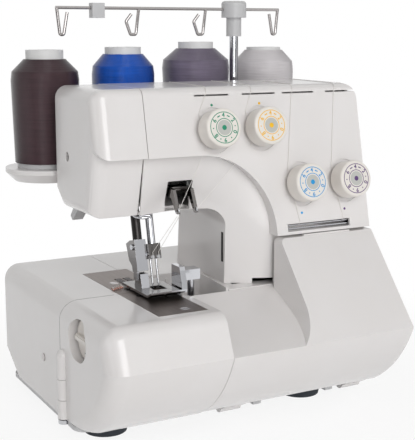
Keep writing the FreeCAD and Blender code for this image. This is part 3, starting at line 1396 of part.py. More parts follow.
def make_thread_stand():
    """The stand's bracket, tray, holders, spools and cones, and the telescopic pole with its wire guide."""
    ends = "1.5 * cone_pitch"
    tray = start_body()
    pad(tray, outline(tray, "XY", "tray_low", [
        (ends, "cone_row_y - tray_radius", "tray_radius"),
        (f"{ends} + tray_radius", "cone_row_y", "tray_radius"),
        (ends, "cone_row_y + tray_radius"), (f"-{ends}", "cone_row_y + tray_radius", "tray_radius"),
        (f"-{ends} - tray_radius", "cone_row_y", "tray_radius"), (f"-{ends}", "cone_row_y - tray_radius")]),
        "tray_top - tray_low")
    low = value("tray_low")
    round_edges(tray, "tray_bevel", lambda e: abs(e.BoundBox.ZMax - low) < NEAR, kind="Chamfer")
    bore_radius = "pole_radius + running_gap"
    tube_hole = cylinder(("pole_x", "pole_y", "0"), f"{bore_radius} + tube_wall", "pole_top")
    node("thread_tray", cut(tray, tube_hole))
    bracket = prism("YZ", [("pole_y - bracket_half", "bed_top"), ("pole_y + 2 * bracket_half", "bed_top"),
                           ("pole_y + bracket_half", "tray_low"), ("pole_y - bracket_half", "tray_low")],
                    "pole_x - bracket_half", "pole_x + bracket_half")
    node("stand_bracket", cut(bracket, tube_hole))
    tube = cylinder(("pole_x", "pole_y", "bed_top + shell"), f"{bore_radius} + tube_wall",
                    "arm_top - bed_top - 4 * shell")
    node("pole_lower_tube", cut(tube, cylinder(("pole_x", "pole_y", "bed_top"), bore_radius, "pole_top")))
    node("pole_upper_tube", cylinder(("pole_x", "pole_y", "bed_top + 2 * shell"), "pole_radius",
                                     "pole_top - bed_top - 2 * shell"))
    holders, spools = [], []
    floor, core = "tray_top + holder_height", "spool_radius - shell"
    for i, name in enumerate(CONES):
        x = f"{i - 1.5} * cone_pitch"
        radius, shoulder, top = f"{name}_radius", f"{name}_shoulder", f"{name}_top"
        neck = f"{shoulder} + cone_neck"
        holders.append(fuse(cylinder((x, "cone_row_y", "tray_top"), "holder_radius", "holder_height"),
                            cylinder((x, "cone_row_y", "tray_top"), "spool_bore - 4 * running_gap",
                                     "cone_pin_top - tray_top")))
        winding = revolve([(core, floor), ("cone_base_radius", floor),
                           (radius, f"{shoulder} - 0.7 * cone_neck"),
                           (f"{radius} - 1", shoulder), ("cone_top_radius", neck), (core, neck)])
        node(f"{name}_thread_cone", place(group(winding), (x, "cone_row_y", "0")))
        spool = revolve([("spool_bore", floor), (core, floor), (core, neck), ("spool_radius", neck),
                         ("spool_radius", top), ("spool_bore", top)])
        spools.append(place(group(spool), (x, "cone_row_y", "0")))
    node("cone_holders", group(*holders))
    node("cone_spools", group(*spools))
    collar, collar_low = "pole_radius + cap_step / 2", "pole_top - 3 * cap_step"
    cap = revolve([("pole_radius", collar_low), (collar, collar_low), (collar, "pole_top"),
                   ("cap_radius", "pole_top"), ("cap_radius", "cap_top - cap_step / 2", "cap_step / 2"),
                   ("cap_radius - cap_step / 2", "cap_top"), ("0", "cap_top"), ("0", "pole_top"),
                   ("pole_radius", "pole_top")])
    wire_bore = cylinder(("pole_x - 2 * cap_radius", "pole_y", "wire_z"), "wire_radius", "4 * cap_radius",
                         "x")
    node("pole_cap", cut(place(group(cap), ("pole_x", "pole_y", "0")), wire_bore))
    bar = doc.addObject("Part::Feature", "bar")
    bar.Shape = guide_bar_shape()
    node("guide_bar", place(bar, ("0", "pole_y", "wire_z")))
    clip = cut(box(("clip_x", "pole_y - clip_half", "wire_z - 2 * clip_half"),
                   ("clip_x + clip_width", "pole_y + clip_half", "wire_z + clip_half")),
               cylinder(("clip_x - shell", "pole_y", "wire_z"), "wire_radius", "2 * clip_width", "x"))
    node("guide_clip", clip)


def guide_bar_shape():
    """The bent wire with an open hook over each cone."""
    drop, hook, radius, bend = (value(n) for n in ("hook_drop", "hook_width", "wire_radius", "hook_bend"))
    left, right = value("guide_left"), value("guide_right")
    wires = [pipe([Vector(left, 0, 0), Vector(right, 0, 0)], radius, bend)]
    for x, sign in ((left, 1), (right, -1)):
        loop = [(0.1, 0), (0.33, -drop), (0.66, -drop), (1, -0.17 * drop)]
        wires.append(pipe([Vector(x + sign * hook * along, 0, z) for along, z in loop], radius, bend))
    for x in (value("hook_one_x"), value("hook_two_x")):
        beak = [(1, 0), (0.7, -drop), (0.2, -drop), (-0.2, -0.5 * drop), (0.3, -0.22 * drop)]
        wires.append(pipe([Vector(x + hook * along, 0, z) for along, z in beak], radius, bend))
    return wires[0].fuse(wires[1:]).removeSplitter()


fill_sheet()
make_swing_cover()
make_front_cover()
make_bed()
make_chute()
make_arm()
make_head_end_cover()
make_panel()
make_dials()
make_right_end()
make_base()
chassis_casting = make_chassis()
make_drive()
make_sewing_head(chassis_casting)
make_holder()
make_loopers()
make_take_up()
make_thread_stand()


def export():
    """Check every object and sub-part, then write the STEP files."""
    doc.recompute()
    failed = [o.Name for o in doc.Objects if {"Invalid", "Error"} & set(o.State)]
    if failed:
        raise RuntimeError(f"objects failed: {failed}")
    for name, obj in nodes.items():
        if obj.Shape.isNull() or not obj.Shape.isValid() or not obj.Shape.Solids:
            raise RuntimeError(f"{name} has no valid solid")
    os.makedirs("parts", exist_ok=True)
    for name, obj in nodes.items():
        obj.Shape.exportStep(f"parts/{name}.step")
        print(f"{name}: {len(obj.Shape.Solids)} solid(s), {obj.Shape.Volume / 1000:.2f} cm3")


export()
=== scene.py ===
import json
import logging
import math
from dataclasses import dataclass
from enum import Enum
from typing import ClassVar

import bmesh
import bpy
from mathutils import Matrix, Vector
from mathutils.bvhtree import BVHTree

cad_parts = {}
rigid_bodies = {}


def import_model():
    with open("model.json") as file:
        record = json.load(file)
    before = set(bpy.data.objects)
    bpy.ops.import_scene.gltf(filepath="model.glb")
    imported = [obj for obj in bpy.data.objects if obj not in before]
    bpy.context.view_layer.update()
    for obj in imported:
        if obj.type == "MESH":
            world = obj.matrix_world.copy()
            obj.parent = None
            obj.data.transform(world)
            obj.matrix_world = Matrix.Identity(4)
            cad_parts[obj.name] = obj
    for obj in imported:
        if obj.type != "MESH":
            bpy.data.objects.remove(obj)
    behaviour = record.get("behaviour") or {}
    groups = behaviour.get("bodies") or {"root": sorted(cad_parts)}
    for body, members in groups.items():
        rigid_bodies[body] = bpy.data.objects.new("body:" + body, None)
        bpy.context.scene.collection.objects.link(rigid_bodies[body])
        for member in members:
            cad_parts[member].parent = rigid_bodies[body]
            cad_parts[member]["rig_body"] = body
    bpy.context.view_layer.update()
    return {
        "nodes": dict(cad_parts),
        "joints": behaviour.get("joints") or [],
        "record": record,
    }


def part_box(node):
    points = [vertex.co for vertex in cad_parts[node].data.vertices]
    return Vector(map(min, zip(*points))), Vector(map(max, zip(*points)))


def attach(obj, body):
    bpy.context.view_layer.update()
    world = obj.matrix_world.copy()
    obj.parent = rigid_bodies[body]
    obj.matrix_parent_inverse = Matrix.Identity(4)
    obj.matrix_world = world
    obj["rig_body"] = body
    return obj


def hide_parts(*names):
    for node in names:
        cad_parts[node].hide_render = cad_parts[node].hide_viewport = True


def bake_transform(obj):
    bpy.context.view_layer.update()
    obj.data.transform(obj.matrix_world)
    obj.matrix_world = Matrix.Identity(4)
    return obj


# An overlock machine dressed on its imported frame, in metres: +X is the machine's right, +Y its back, +Z up.
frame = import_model()
MM = 0.001
# Points closer than the first are one, and edges sharper than the second, in degrees, stay sharp.
MERGE, SMOOTH = 0.002 * MM, 35
LOG = logging.getLogger("overlock")
Color = tuple[float, float, float]
Span = tuple[float, float, float, float]
Socket = bpy.types.NodeSocket


def paint(red: int, green: int, blue: int) -> Color:
    """A screen colour, 0 to 255, as linear light.

    Args:
        red, green, blue: The colour as a screen shows it.

    Returns:
        The three linear values.
    """
    def linear(value: int) -> float:
        """One channel as linear light."""
        part = value / 255
        return part / 12.92 if part <= 0.04045 else ((part + 0.055) / 1.055) ** 2.4
    return linear(red), linear(green), linear(blue)


def mm(x: float, y: float, z: float) -> Vector:
    """A place given in millimetres."""
    return Vector((x, y, z)) * MM


class Graph:
    """A node tree with short calls that add nodes and join them."""

    def __init__(self, tree: bpy.types.NodeTree) -> None:
        """Keep the tree.

        Args:
            tree: A shader or geometry tree.
        """
        self.tree = tree

    def add(self, kind: str, inputs: dict[str | int, object] | None = None,
            **options: object) -> bpy.types.Node:
        """Add a node, set its options, and set or join its inputs.

        Args:
            kind: The node's type name.
            inputs: Values or sockets by the input's name or number.
            options: Properties of the node, such as operation.

        Returns:
            The new node.
        """
        node = self.tree.nodes.new(kind)
        for name, option in options.items():
            setattr(node, name, option)
        for name, given in (inputs or {}).items():
            if isinstance(given, Socket):
                self.join(given, node.inputs[name])
            else:
                node.inputs[name].default_value = given
        return node

    def math(self, operation: str, *values: float | Socket) -> Socket:
        """Add a math node and return its result.

        Args:
            operation: The node's operation.
            values: Numbers or sockets, in order.

        Returns:
            The result's socket.
        """
        return self.add("ShaderNodeMath", dict(enumerate(values)), operation=operation).outputs[0]

    def span(self, value: Socket, *limits: float | Socket) -> Socket:
        """Add a map range node and return its result.

        Args:
            value: What is mapped.
            limits: The two ends of its range, and what they become.

        Returns:
            The result's socket.
        """
        return self.add("ShaderNodeMapRange", dict(enumerate((value, *limits)))).outputs[0]

    def mix(self, share: Socket, first: object, second: object) -> Socket:
        """Mix two colours.

        Args:
            share: How much of the second one.
            first, second: Colours or their sockets.

        Returns:
            The mixed colour.
        """
        return self.add("ShaderNodeMix", {0: share, 6: first, 7: second}, data_type="RGBA").outputs[2]

    def join(self, source: Socket, target: Socket) -> None:
        """Join an output to an input."""
        self.tree.links.new(source, target)


DUST = paint(214, 208, 198)


class Effect(Enum):
    """Surface effects that several finishes share."""

    MOTTLE = "Mottle"
    GRAIN = "Grain"
    BRUSH = "Brush"
    WINDING = "Winding"


class EffectLibrary:
    """Shader node groups, each built once.

    Attributes:
        drift_range: Where the slow cloud of a mottle starts and ends.
        speck_scale, patch_scale: Scales of the dust and of the polished patches.
        fine_share, patch_share: Shares of fine grain and patches in the roughness.
        band_stretch: Stretch along X, Y and Z of the bands round wound thread.
        thread_share: Share of the thread's own height in its shade.
    """

    drift_range: ClassVar[tuple[float, float]] = (0.38, 0.62)
    speck_scale: ClassVar[float] = 900
    patch_scale: ClassVar[float] = 28
    fine_share: ClassVar[float] = 0.4
    patch_share: ClassVar[float] = 0.6
    band_stretch: ClassVar[tuple[float, float, float]] = (30, 30, 700)
    thread_share: ClassVar[float] = 0.25

    def __init__(self) -> None:
        """Start with no group."""
        self.groups: dict[Effect, bpy.types.NodeTree] = {}

    def group(self, effect: Effect) -> bpy.types.NodeTree:
        """The group of an effect, built when it is first asked for.

        Args:
            effect: Which effect.

        Returns:
            Its node group.
        """
        if effect not in self.groups:
            self.groups[effect] = getattr(self, f"build_{effect.name.lower()}")()
        return self.groups[effect]

    def start(self, name: str, inputs: dict[str, tuple[str, object]], outputs: dict[str, str]
              ) -> tuple[Graph, bpy.types.Node, bpy.types.Node]:
        """Make an empty group with named sockets.

        Args:
            name: The group's name.
            inputs: Socket kind and first value by name.
            outputs: Socket kind by name.

        Returns:
            The group's graph, its input node and its output node.
        """
        tree = bpy.data.node_groups.new(name, "ShaderNodeTree")
        for label, (kind, value) in inputs.items():
            socket = tree.interface.new_socket(label, in_out="INPUT", socket_type=f"NodeSocket{kind}")
            socket.default_value = value
        for label, kind in outputs.items():
            tree.interface.new_socket(label, in_out="OUTPUT", socket_type=f"NodeSocket{kind}")
        graph = Graph(tree)
        return graph, graph.add("NodeGroupInput"), graph.add("NodeGroupOutput")

    def build_mottle(self) -> bpy.types.NodeTree:
        """Slow drifts of colour, with a pale dust on what faces up.

        Returns:
            The group.
        """
        graph, given, result = self.start(
            "Mottle", {"Color": ("Color", (1, 1, 1, 1)), "Shade": ("Color", (1, 1, 1, 1)),
                       "Scale": ("Float", 20), "Amount": ("Float", 0.5), "Dust": ("Float", 0)},
            {"Color": "Color"})
        place = graph.add("ShaderNodeTexCoord").outputs["Object"]
        cloud = graph.add("ShaderNodeTexNoise", {"Vector": place, "Scale": given.outputs["Scale"],
                                                 "Detail": 4})
        drift = graph.span(cloud.outputs[0], *self.drift_range, 0, given.outputs["Amount"])
        mixed = graph.mix(drift, given.outputs["Color"], given.outputs["Shade"])
        up = graph.add("ShaderNodeSeparateXYZ", {0: graph.add("ShaderNodeNewGeometry").outputs["Normal"]})
        facing = graph.math("MULTIPLY", graph.math("MAXIMUM", up.outputs[2], 0.0), given.outputs["Dust"])
        specks = graph.add("ShaderNodeTexNoise", {"Vector": place, "Scale": self.speck_scale, "Detail": 2})
        dusted = graph.mix(graph.math("MULTIPLY", facing, specks.outputs[0]), mixed, (*DUST, 1))
        graph.join(dusted, result.inputs["Color"])
        return graph.tree

    def build_grain(self) -> bpy.types.NodeTree:
        """Fine moulded grain with patches that hands have polished.

        Returns:
            The group.
        """
        graph, given, result = self.start(
            "Grain", {"Scale": ("Float", 900), "Roughness": ("Float", 0.3), "Spread": ("Float", 0.1)},
            {"Roughness": "Float", "Height": "Float"})
        place = graph.add("ShaderNodeTexCoord").outputs["Object"]
        fine = graph.add("ShaderNodeTexNoise", {"Vector": place, "Scale": given.outputs["Scale"],
                                                "Detail": 3})
        patch = graph.add("ShaderNodeTexNoise", {"Vector": place, "Scale": self.patch_scale, "Detail": 3})
        both = graph.math("ADD", graph.math("MULTIPLY", fine.outputs[0], self.fine_share),
                          graph.math("MULTIPLY", patch.outputs[0], self.patch_share))
        swing = graph.math("MULTIPLY", graph.math("SUBTRACT", both, 0.5), given.outputs["Spread"])
        graph.join(graph.math("ADD", given.outputs["Roughness"], swing), result.inputs["Roughness"])
        graph.join(fine.outputs[0], result.inputs["Height"])
        return graph.tree

    def build_brush(self) -> bpy.types.NodeTree:
        """Straight brush marks, drawn out along the axis with the smallest stretch.

        Returns:
            The group.
        """
        graph, given, result = self.start(
            "Brush", {"Stretch": ("Vector", (2000, 30, 2000)), "Roughness": ("Float", 0.3),
                      "Spread": ("Float", 0.2)}, {"Roughness": "Float", "Height": "Float"})
        place = graph.add("ShaderNodeTexCoord").outputs["Object"]
        drawn = graph.add("ShaderNodeVectorMath", {0: place, 1: given.outputs["Stretch"]},
                          operation="MULTIPLY")
        lines = graph.add("ShaderNodeTexNoise", {"Vector": drawn.outputs[0], "Scale": 1, "Detail": 3})
        swing = graph.math("MULTIPLY", graph.math("SUBTRACT", lines.outputs[0], 0.5), given.outputs["Spread"])
        graph.join(graph.math("ADD", given.outputs["Roughness"], swing), result.inputs["Roughness"])
        graph.join(lines.outputs[0], result.inputs["Height"])
        return graph.tree

    def build_winding(self) -> bpy.types.NodeTree:
        """Thread laid crosswise round a cone whose axis is Z.

        Returns:
            The group.
        """
        graph, given, result = self.start(
            "Winding", {"Vector": ("Vector", (0, 0, 0)), "Pitch": ("Float", 0.0007), "Lean": ("Float", 5)},
            {"Height": "Float", "Shade": "Float"})
        split = graph.add("ShaderNodeSeparateXYZ", {0: given.outputs["Vector"]})
        turn = graph.math("ARCTAN2", split.outputs[1], split.outputs[0])
        turns = graph.math("DIVIDE", split.outputs[2], given.outputs["Pitch"])
        climb = graph.math("MULTIPLY", turns, math.tau)
        lean = graph.math("MULTIPLY", turn, given.outputs["Lean"])
        over = graph.math("SINE", graph.math("ADD", climb, lean))
        under = graph.math("SINE", graph.math("SUBTRACT", climb, lean))
        height = graph.math("MAXIMUM", over, under)
        flat = graph.add("ShaderNodeVectorMath", {0: given.outputs["Vector"], 1: self.band_stretch},
                         operation="MULTIPLY")
        band = graph.add("ShaderNodeTexNoise", {"Vector": flat.outputs[0], "Scale": 1, "Detail": 2})
        shade = graph.math("ADD", graph.math("MULTIPLY", height, self.thread_share), band.outputs[0])
        graph.join(height, result.inputs["Height"])
        graph.join(shade, result.inputs["Shade"])
        return graph.tree


EFFECTS = EffectLibrary()


class Kind(Enum):
    """The sorts of surface on the machine."""

    GLOSS = "moulded plastic"
    METAL = "brushed or polished metal"
    DULL = "rubber, paint or casting"
    THREAD = "wound thread"


@dataclass(frozen=True)
class Finish:
    """One surface finish, made into a material when it is first used.

    Attributes:
        name: The material's name.
        kind: The sort of surface.
        color: Its main colour.
        shade: The colour it drifts to, and on wound thread also the colour of the painted shade at its rims.
        roughness: Its mean roughness.
        spread: How far the roughness varies.
        bump: How deep its grain is, in metres.
        grain: Grain scale, or the brush marks' stretch along X, Y and Z.
        coat: The clear gloss over it.
        dust: How much dust lies on its upper faces.
        coat_roughness, relief: Roughness of every coat, and strength of every grain.
        drift_scale, drift_amount: Scale and reach of the drifts of colour.
        thread_gloss, thread_streak, edge_shade: Gloss and upright streak of wound thread, and the strength of
            the painted shade that darkens its rims.
        thread_dark: From which shade to which a thread darkens, and how far.
    """

    name: str
    kind: Kind
    color: Color
    shade: Color
    roughness: float
    spread: float = 0.1
    bump: float = 0.00002
    grain: tuple[float, float, float] = (900, 900, 900)
    coat: float = 0.0
    dust: float = 0.0
    coat_roughness: ClassVar[float] = 0.12
    relief: ClassVar[float] = 0.5
    drift_scale: ClassVar[float] = 24
    drift_amount: ClassVar[float] = 0.25
    thread_gloss: ClassVar[float] = 0.4
    thread_streak: ClassVar[float] = 0.9
    edge_shade: ClassVar[float] = 0.95
    thread_dark: ClassVar[Span] = (0.3, 0.9, 0, 0.5)

    def material(self) -> bpy.types.Material:
        """The finish's material, built once."""
        return bpy.data.materials.get(f"{self.name}_look") or self.build()

    def build(self) -> bpy.types.Material:
        """Build the material's nodes.

        Returns:
            The new material.
        """
        material = bpy.data.materials.new(f"{self.name}_look")
        material.use_nodes = True
        material.diffuse_color = (*self.color, 1)
        graph = Graph(material.node_tree)
        shader = material.node_tree.nodes["Principled BSDF"]
        shader.inputs["Metallic"].default_value = 1.0 if self.kind is Kind.METAL else 0.0
        shader.inputs["Coat Weight"].default_value = self.coat
        shader.inputs["Coat Roughness"].default_value = self.coat_roughness
        mottle = self.use(graph, Effect.MOTTLE, {
            "Color": (*self.color, 1), "Shade": (*self.shade, 1), "Scale": self.drift_scale,
            "Amount": self.drift_amount, "Dust": self.dust})
        color = mottle.outputs["Color"]
        if self.kind is Kind.THREAD:
            color, height = self.wind(graph, shader, color)
        else:
            effect = Effect.BRUSH if self.kind is Kind.METAL else Effect.GRAIN
            scale = {"Stretch": self.grain} if self.kind is Kind.METAL else {"Scale": self.grain[0]}
            skin = self.use(graph, effect, {**scale, "Roughness": self.roughness, "Spread": self.spread})
            graph.join(skin.outputs["Roughness"], shader.inputs["Roughness"])
            height = skin.outputs["Height"]
        bump = graph.add("ShaderNodeBump", {"Strength": self.relief, "Distance": self.bump, "Height": height})
        graph.join(color, shader.inputs["Base Color"])
        graph.join(bump.outputs[0], shader.inputs["Normal"])
        return material

    def use(self, graph: Graph, effect: Effect, inputs: dict[str, object]) -> bpy.types.Node:
        """Place an effect's group in a material.

        Args:
            graph: The material's graph.
            effect: Which effect.
            inputs: Its values.

        Returns:
            The group node.
        """
        return graph.add("ShaderNodeGroup", inputs, node_tree=EFFECTS.group(effect))

    def wind(self, graph: Graph, shader: bpy.types.Node, color: Socket) -> tuple[Socket, Socket]:
        """Lay thread over the colour, following the piece's own winding attribute, and paint shade on its
        rims.

        Args:
            graph: The material's graph.
            shader: Its surface shader.
            color: The colour below.

        Returns:
            The colour with the thread's shade and the painted shade at its rims, and the thread's height.
        """
        shader.inputs["Roughness"].default_value = self.roughness
        shader.inputs["Specular IOR Level"].default_value = self.thread_gloss
        shader.inputs["Anisotropic"].default_value = self.thread_streak
        upright = graph.add("ShaderNodeCombineXYZ", {0: 0.0, 1: 0.0, 2: 1.0})
        graph.join(upright.outputs[0], shader.inputs["Tangent"])
        axis = graph.add("ShaderNodeAttribute", attribute_name="winding")
        thread = self.use(graph, Effect.WINDING, {"Vector": axis.outputs["Vector"]})
        mask = graph.span(thread.outputs["Shade"], *self.thread_dark)
        # Painted shade: the colour darkens towards the rims, where the cone turns away from view, standing in
        # for the shading of a lamp from the front.
        edge = graph.add("ShaderNodeLayerWeight", {"Blend": 0.5}).outputs["Facing"]
        dark = graph.math("MAXIMUM", mask, graph.math("MULTIPLY", edge, self.edge_shade))
        return graph.mix(dark, color, (*self.shade, 1)), thread.outputs["Height"]


WARM_WHITE = Finish("warm_white_plastic", Kind.GLOSS, paint(230, 227, 226), paint(225, 221, 218), 0.24, 0.08,
                    0.000012, coat=0.35, dust=0.06)
DIAL_WHITE = Finish("dial_white_plastic", Kind.GLOSS, paint(234, 229, 223), paint(228, 221, 213), 0.32, 0.1,
                    0.00001, coat=0.15, dust=0.05)
LIGHT_GREY = Finish("light_grey_plastic", Kind.GLOSS, paint(203, 203, 204), paint(190, 190, 192), 0.42, 0.14,
                    0.00002, dust=0.08)
SPOOL_WHITE = Finish("spool_white_plastic", Kind.GLOSS, paint(226, 226, 226), paint(212, 211, 208), 0.45,
                     0.15)
SLATE_RUBBER = Finish("slate_rubber", Kind.DULL, paint(46, 51, 58), paint(34, 37, 42), 0.78, 0.2, 0.00006,
                      grain=(1500, 1500, 1500), dust=0.2)
PLATE_STEEL = Finish("satin_plate_steel", Kind.METAL, paint(126, 116, 111), paint(106, 97, 93), 0.38, 0.2,
                     0.000008, (1800, 40, 1800))
BRIGHT_STEEL = Finish("bright_steel", Kind.METAL, paint(201, 202, 205), paint(176, 176, 180), 0.24, 0.2,
                      0.000006, (60, 2200, 2200))
CHROME = Finish("chrome_plate", Kind.METAL, paint(206, 207, 211), paint(186, 187, 192), 0.09, 0.08, 0.000002,
                (500, 500, 60))
BLACK_STEEL = Finish("blackened_steel", Kind.METAL, paint(58, 56, 56), paint(38, 36, 35), 0.3, 0.22, 0.000008,
                     (900, 900, 60))
CAST_ALLOY = Finish("cast_alloy", Kind.METAL, paint(166, 166, 164), paint(140, 140, 139), 0.55, 0.2, 0.00012,
                    (420, 420, 420))
DARK_CHROME = Finish("dark_chrome", Kind.METAL, paint(122, 119, 117), paint(96, 93, 91), 0.12, 0.1, 0.000003,
                     (60, 900, 900))
WIRE = Finish("polished_wire", Kind.METAL, paint(182, 178, 177), paint(158, 153, 152), 0.16, 0.06, 0.000001,
              (300, 300, 300))
DARK_SOLE = Finish("dark_sole_steel", Kind.METAL, paint(134, 132, 132), paint(106, 104, 103), 0.22, 0.2,
                   0.000006, (900, 40, 900))
BRASS = Finish("post_brass", Kind.METAL, paint(196, 164, 98), paint(168, 134, 74), 0.3, 0.2, 0.000006,
               (1800, 50, 1800))
MOTOR_BLACK = Finish("motor_black_paint", Kind.DULL, paint(42, 42, 44), paint(30, 30, 31), 0.5, 0.2, 0.00004)
PULLEY_BLACK = Finish("pulley_black_plastic", Kind.DULL, paint(34, 34, 36), paint(48, 47, 47), 0.42, 0.16)
BELT_RUBBER = Finish("belt_rubber", Kind.DULL, paint(30, 29, 29), paint(44, 43, 42), 0.8, 0.2, 0.00005)
BLACK_PLASTIC = Finish("black_plastic", Kind.GLOSS, paint(28, 28, 30), paint(40, 40, 42), 0.38, 0.16,
                       dust=0.06)
BROWN_THREAD = Finish("brown_thread", Kind.THREAD, paint(76, 50, 57), paint(27, 16, 19), 0.3, bump=0.0003)
BLUE_THREAD = Finish("blue_thread", Kind.THREAD, paint(2, 96, 212), paint(0, 28, 96), 0.28, bump=0.0003)
VIOLET_THREAD = Finish("violet_thread", Kind.THREAD, paint(138, 128, 150), paint(70, 62, 74), 0.28,
                       bump=0.0003)
SILVER_THREAD = Finish("silver_thread", Kind.THREAD, paint(240, 236, 238), paint(176, 170, 172), 0.28,
                       bump=0.0003)
WHITE_YARN = Finish("white_yarn", Kind.DULL, paint(233, 230, 226), paint(205, 199, 192), 0.7, 0.1, 0.00003)
ORANGE_YARN = Finish("orange_yarn", Kind.DULL, paint(214, 112, 70), paint(172, 78, 46), 0.7, 0.1, 0.00003)
# Painted shade: a near-black colour for pieces laid where only shade falls, in the thread slit and in the
# cover seam.
PAINTED_SHADE = Finish("painted_recess_shade", Kind.DULL, paint(44, 42, 40), paint(30, 28, 27), 0.7, 0.1)
PALE_GREY_INK = Finish("pale_grey_ink", Kind.DULL, paint(192, 193, 188), paint(182, 183, 178), 0.45, 0.1)
GREEN_INK = Finish("green_ink", Kind.DULL, paint(10, 139, 104), paint(8, 124, 92), 0.45, 0.1)
YELLOW_INK = Finish("yellow_ink", Kind.DULL, paint(243, 190, 26), paint(232, 176, 20), 0.45, 0.1)
BLUE_INK = Finish("blue_ink", Kind.DULL, paint(24, 152, 214), paint(18, 138, 200), 0.45, 0.1)
PURPLE_INK = Finish("purple_ink", Kind.DULL, paint(92, 62, 116), paint(80, 52, 104), 0.45, 0.1)

SLOT_FINISH = {
    "warm_white": WARM_WHITE, "dial_white": DIAL_WHITE, "light_grey": LIGHT_GREY, "spool_white": SPOOL_WHITE,
    "slate_rubber": SLATE_RUBBER, "plate_steel": PLATE_STEEL, "bright_steel": BRIGHT_STEEL, "chrome": CHROME,
    "black_steel": BLACK_STEEL, "cast_alloy": CAST_ALLOY, "post_brass": BRASS, "motor_black": MOTOR_BLACK,
    "pulley_black": PULLEY_BLACK, "belt_rubber": BELT_RUBBER, "black_plastic": BLACK_PLASTIC,
    "brown_thread": BROWN_THREAD, "blue_thread": BLUE_THREAD, "violet_thread": VIOLET_THREAD,
    "silver_thread": SILVER_THREAD}


def new_object(name: str, mesh: bpy.types.Mesh, finish: Finish | None = None) -> bpy.types.Object:
    """Put a mesh in the scene.

    Args:
        name: The piece's name.
        mesh: Its mesh.
        finish: Its finish, where the mesh has none yet.

    Returns:
        The new object, at the origin.
    """
    piece = bpy.data.objects.new(name, mesh)
    bpy.context.scene.collection.objects.link(piece)
    if finish:
        mesh.materials.clear()
        mesh.materials.append(finish.material())
    return piece


def fasten(piece: bpy.types.Object, body: str, slot: str, *nodes: str) -> bpy.types.Object:
    """Let a piece ride on a body, and hide the CAD nodes that it replaces.

    Args:
        piece: The finished piece.
        body: The body that it moves with.
        slot: The record's material slot; not used.
        nodes: CAD nodes that it replaces.

    Returns:
        The same piece.
    """
    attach(piece, body)
    if nodes:
        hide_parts(*nodes)
    LOG.info("%s rides on %s, %d faces", piece.name, body, len(piece.data.polygons))
    return piece


def bake(piece: bpy.types.Object) -> bpy.types.Object:
    """Turn a piece's modifiers into its mesh.

    Args:
        piece: A piece with live modifiers.

    Returns:
        The same piece with a plain mesh and no modifier.
    """
    bpy.context.view_layer.update()
    graph = bpy.context.evaluated_depsgraph_get()
    mesh = bpy.data.meshes.new_from_object(piece.evaluated_get(graph), depsgraph=graph)
    piece.modifiers.clear()
    piece.data = mesh
    return piece


def mesh_from(name: str, shape: bmesh.types.BMesh, smooth_angle: float = SMOOTH) -> bpy.types.Mesh:
    """A mesh with merged points, outward faces and smooth shading.

    Args:
        name: The mesh's name.
        shape: The shape, which is freed.
        smooth_angle: Edges sharper than this many degrees stay sharp.

    Returns:
        The new mesh.
    """
    bmesh.ops.remove_doubles(shape, verts=shape.verts, dist=MERGE)
    bmesh.ops.recalc_face_normals(shape, faces=shape.faces)
    mesh = bpy.data.meshes.new(name)
    shape.to_mesh(mesh)
    shape.free()
    mesh.shade_smooth()
    mesh.set_sharp_from_angle(angle=math.radians(smooth_angle))
    return mesh


def lathe(profile: list[tuple[float, float]], steps: int) -> bmesh.types.BMesh:
    """Turn a profile about Z.

    Args:
        profile: Radius and height of each point, in metres.
        steps: Points round the turn.

    Returns:
        The turned shape.
    """
    shape = bmesh.new()
    rings = []
    for radius, height in profile:
        rings.append([shape.verts.new((radius * math.cos(turn), radius * math.sin(turn), height))
                      for turn in (math.tau * step / steps for step in range(steps))])
    for low, high in zip(rings, rings[1:]):
        for step in range(steps):
            after = (step + 1) % steps
            shape.faces.new((low[step], low[after], high[after], high[step]))
    return shape


def mesh_of_curve(name: str, curve: bpy.types.Curve) -> bpy.types.Mesh:
    """Turn a curve or a text into a mesh.

    Args:
        name: The mesh's name.
        curve: The curve or text.

    Returns:
        The mesh.
    """
    holder = bpy.data.objects.new(name, curve)
    bpy.context.scene.collection.objects.link(holder)
    bpy.context.view_layer.update()
    mesh = bpy.data.meshes.new_from_object(holder.evaluated_get(bpy.context.evaluated_depsgraph_get()))
    bpy.data.objects.remove(holder)
    return mesh


def tube(points: list[Vector], radius: float, name: str, finish: Finish, smooth: bool = False
         ) -> bpy.types.Object:
    """A thin round thread or wire through points.

    Args:
        points: Where it goes.
        radius: Its radius.
        name: The piece's name.
        finish: Its finish.
        smooth: Bend smoothly between the points.

    Returns:
        The piece, as a mesh.
    """
    curve = bpy.data.curves.new(name, "CURVE")
    curve.dimensions = "3D"
    curve.bevel_depth = radius
    curve.bevel_resolution = 2
    curve.use_fill_caps = True
    spline = curve.splines.new("NURBS" if smooth else "POLY")
    spline.points.add(len(points) - 1)
    for target, point in zip(spline.points, points):
        target.co = (*point, 1)
    if smooth:
        spline.order_u = 3
        spline.use_endpoint_u = True
    mesh = mesh_of_curve(name, curve)
    mesh.shade_smooth()
    return new_object(name, mesh, finish)


def walls(node: str) -> BVHTree:
    """The faces of a CAD node, for finding a wall along a line.

    Args:
        node: The node's name.

    Returns:
        The tree to cast rays at.
    """
    mesh = frame["nodes"][node].data
    return BVHTree.FromPolygons([vert.co for vert in mesh.vertices],
                                [face.vertices for face in mesh.polygons])


def block(size: Vector, middle: Vector, ease: float, segments: int) -> bmesh.types.BMesh:
    """A box with rounded edges.

    Args:
        size: Its three sides.
        middle: Its middle.
        ease: Reach of the rounding.
        segments: Faces across a rounding.

    Returns:
        The shape.
    """
    shape = bmesh.new()
    bmesh.ops.create_cube(shape, size=1)
    bmesh.ops.scale(shape, vec=size, verts=shape.verts)
    bmesh.ops.translate(shape, vec=middle, verts=shape.verts)
    bmesh.ops.bevel(shape, geom=shape.edges, offset=ease, segments=segments, affect="EDGES")
    return shape


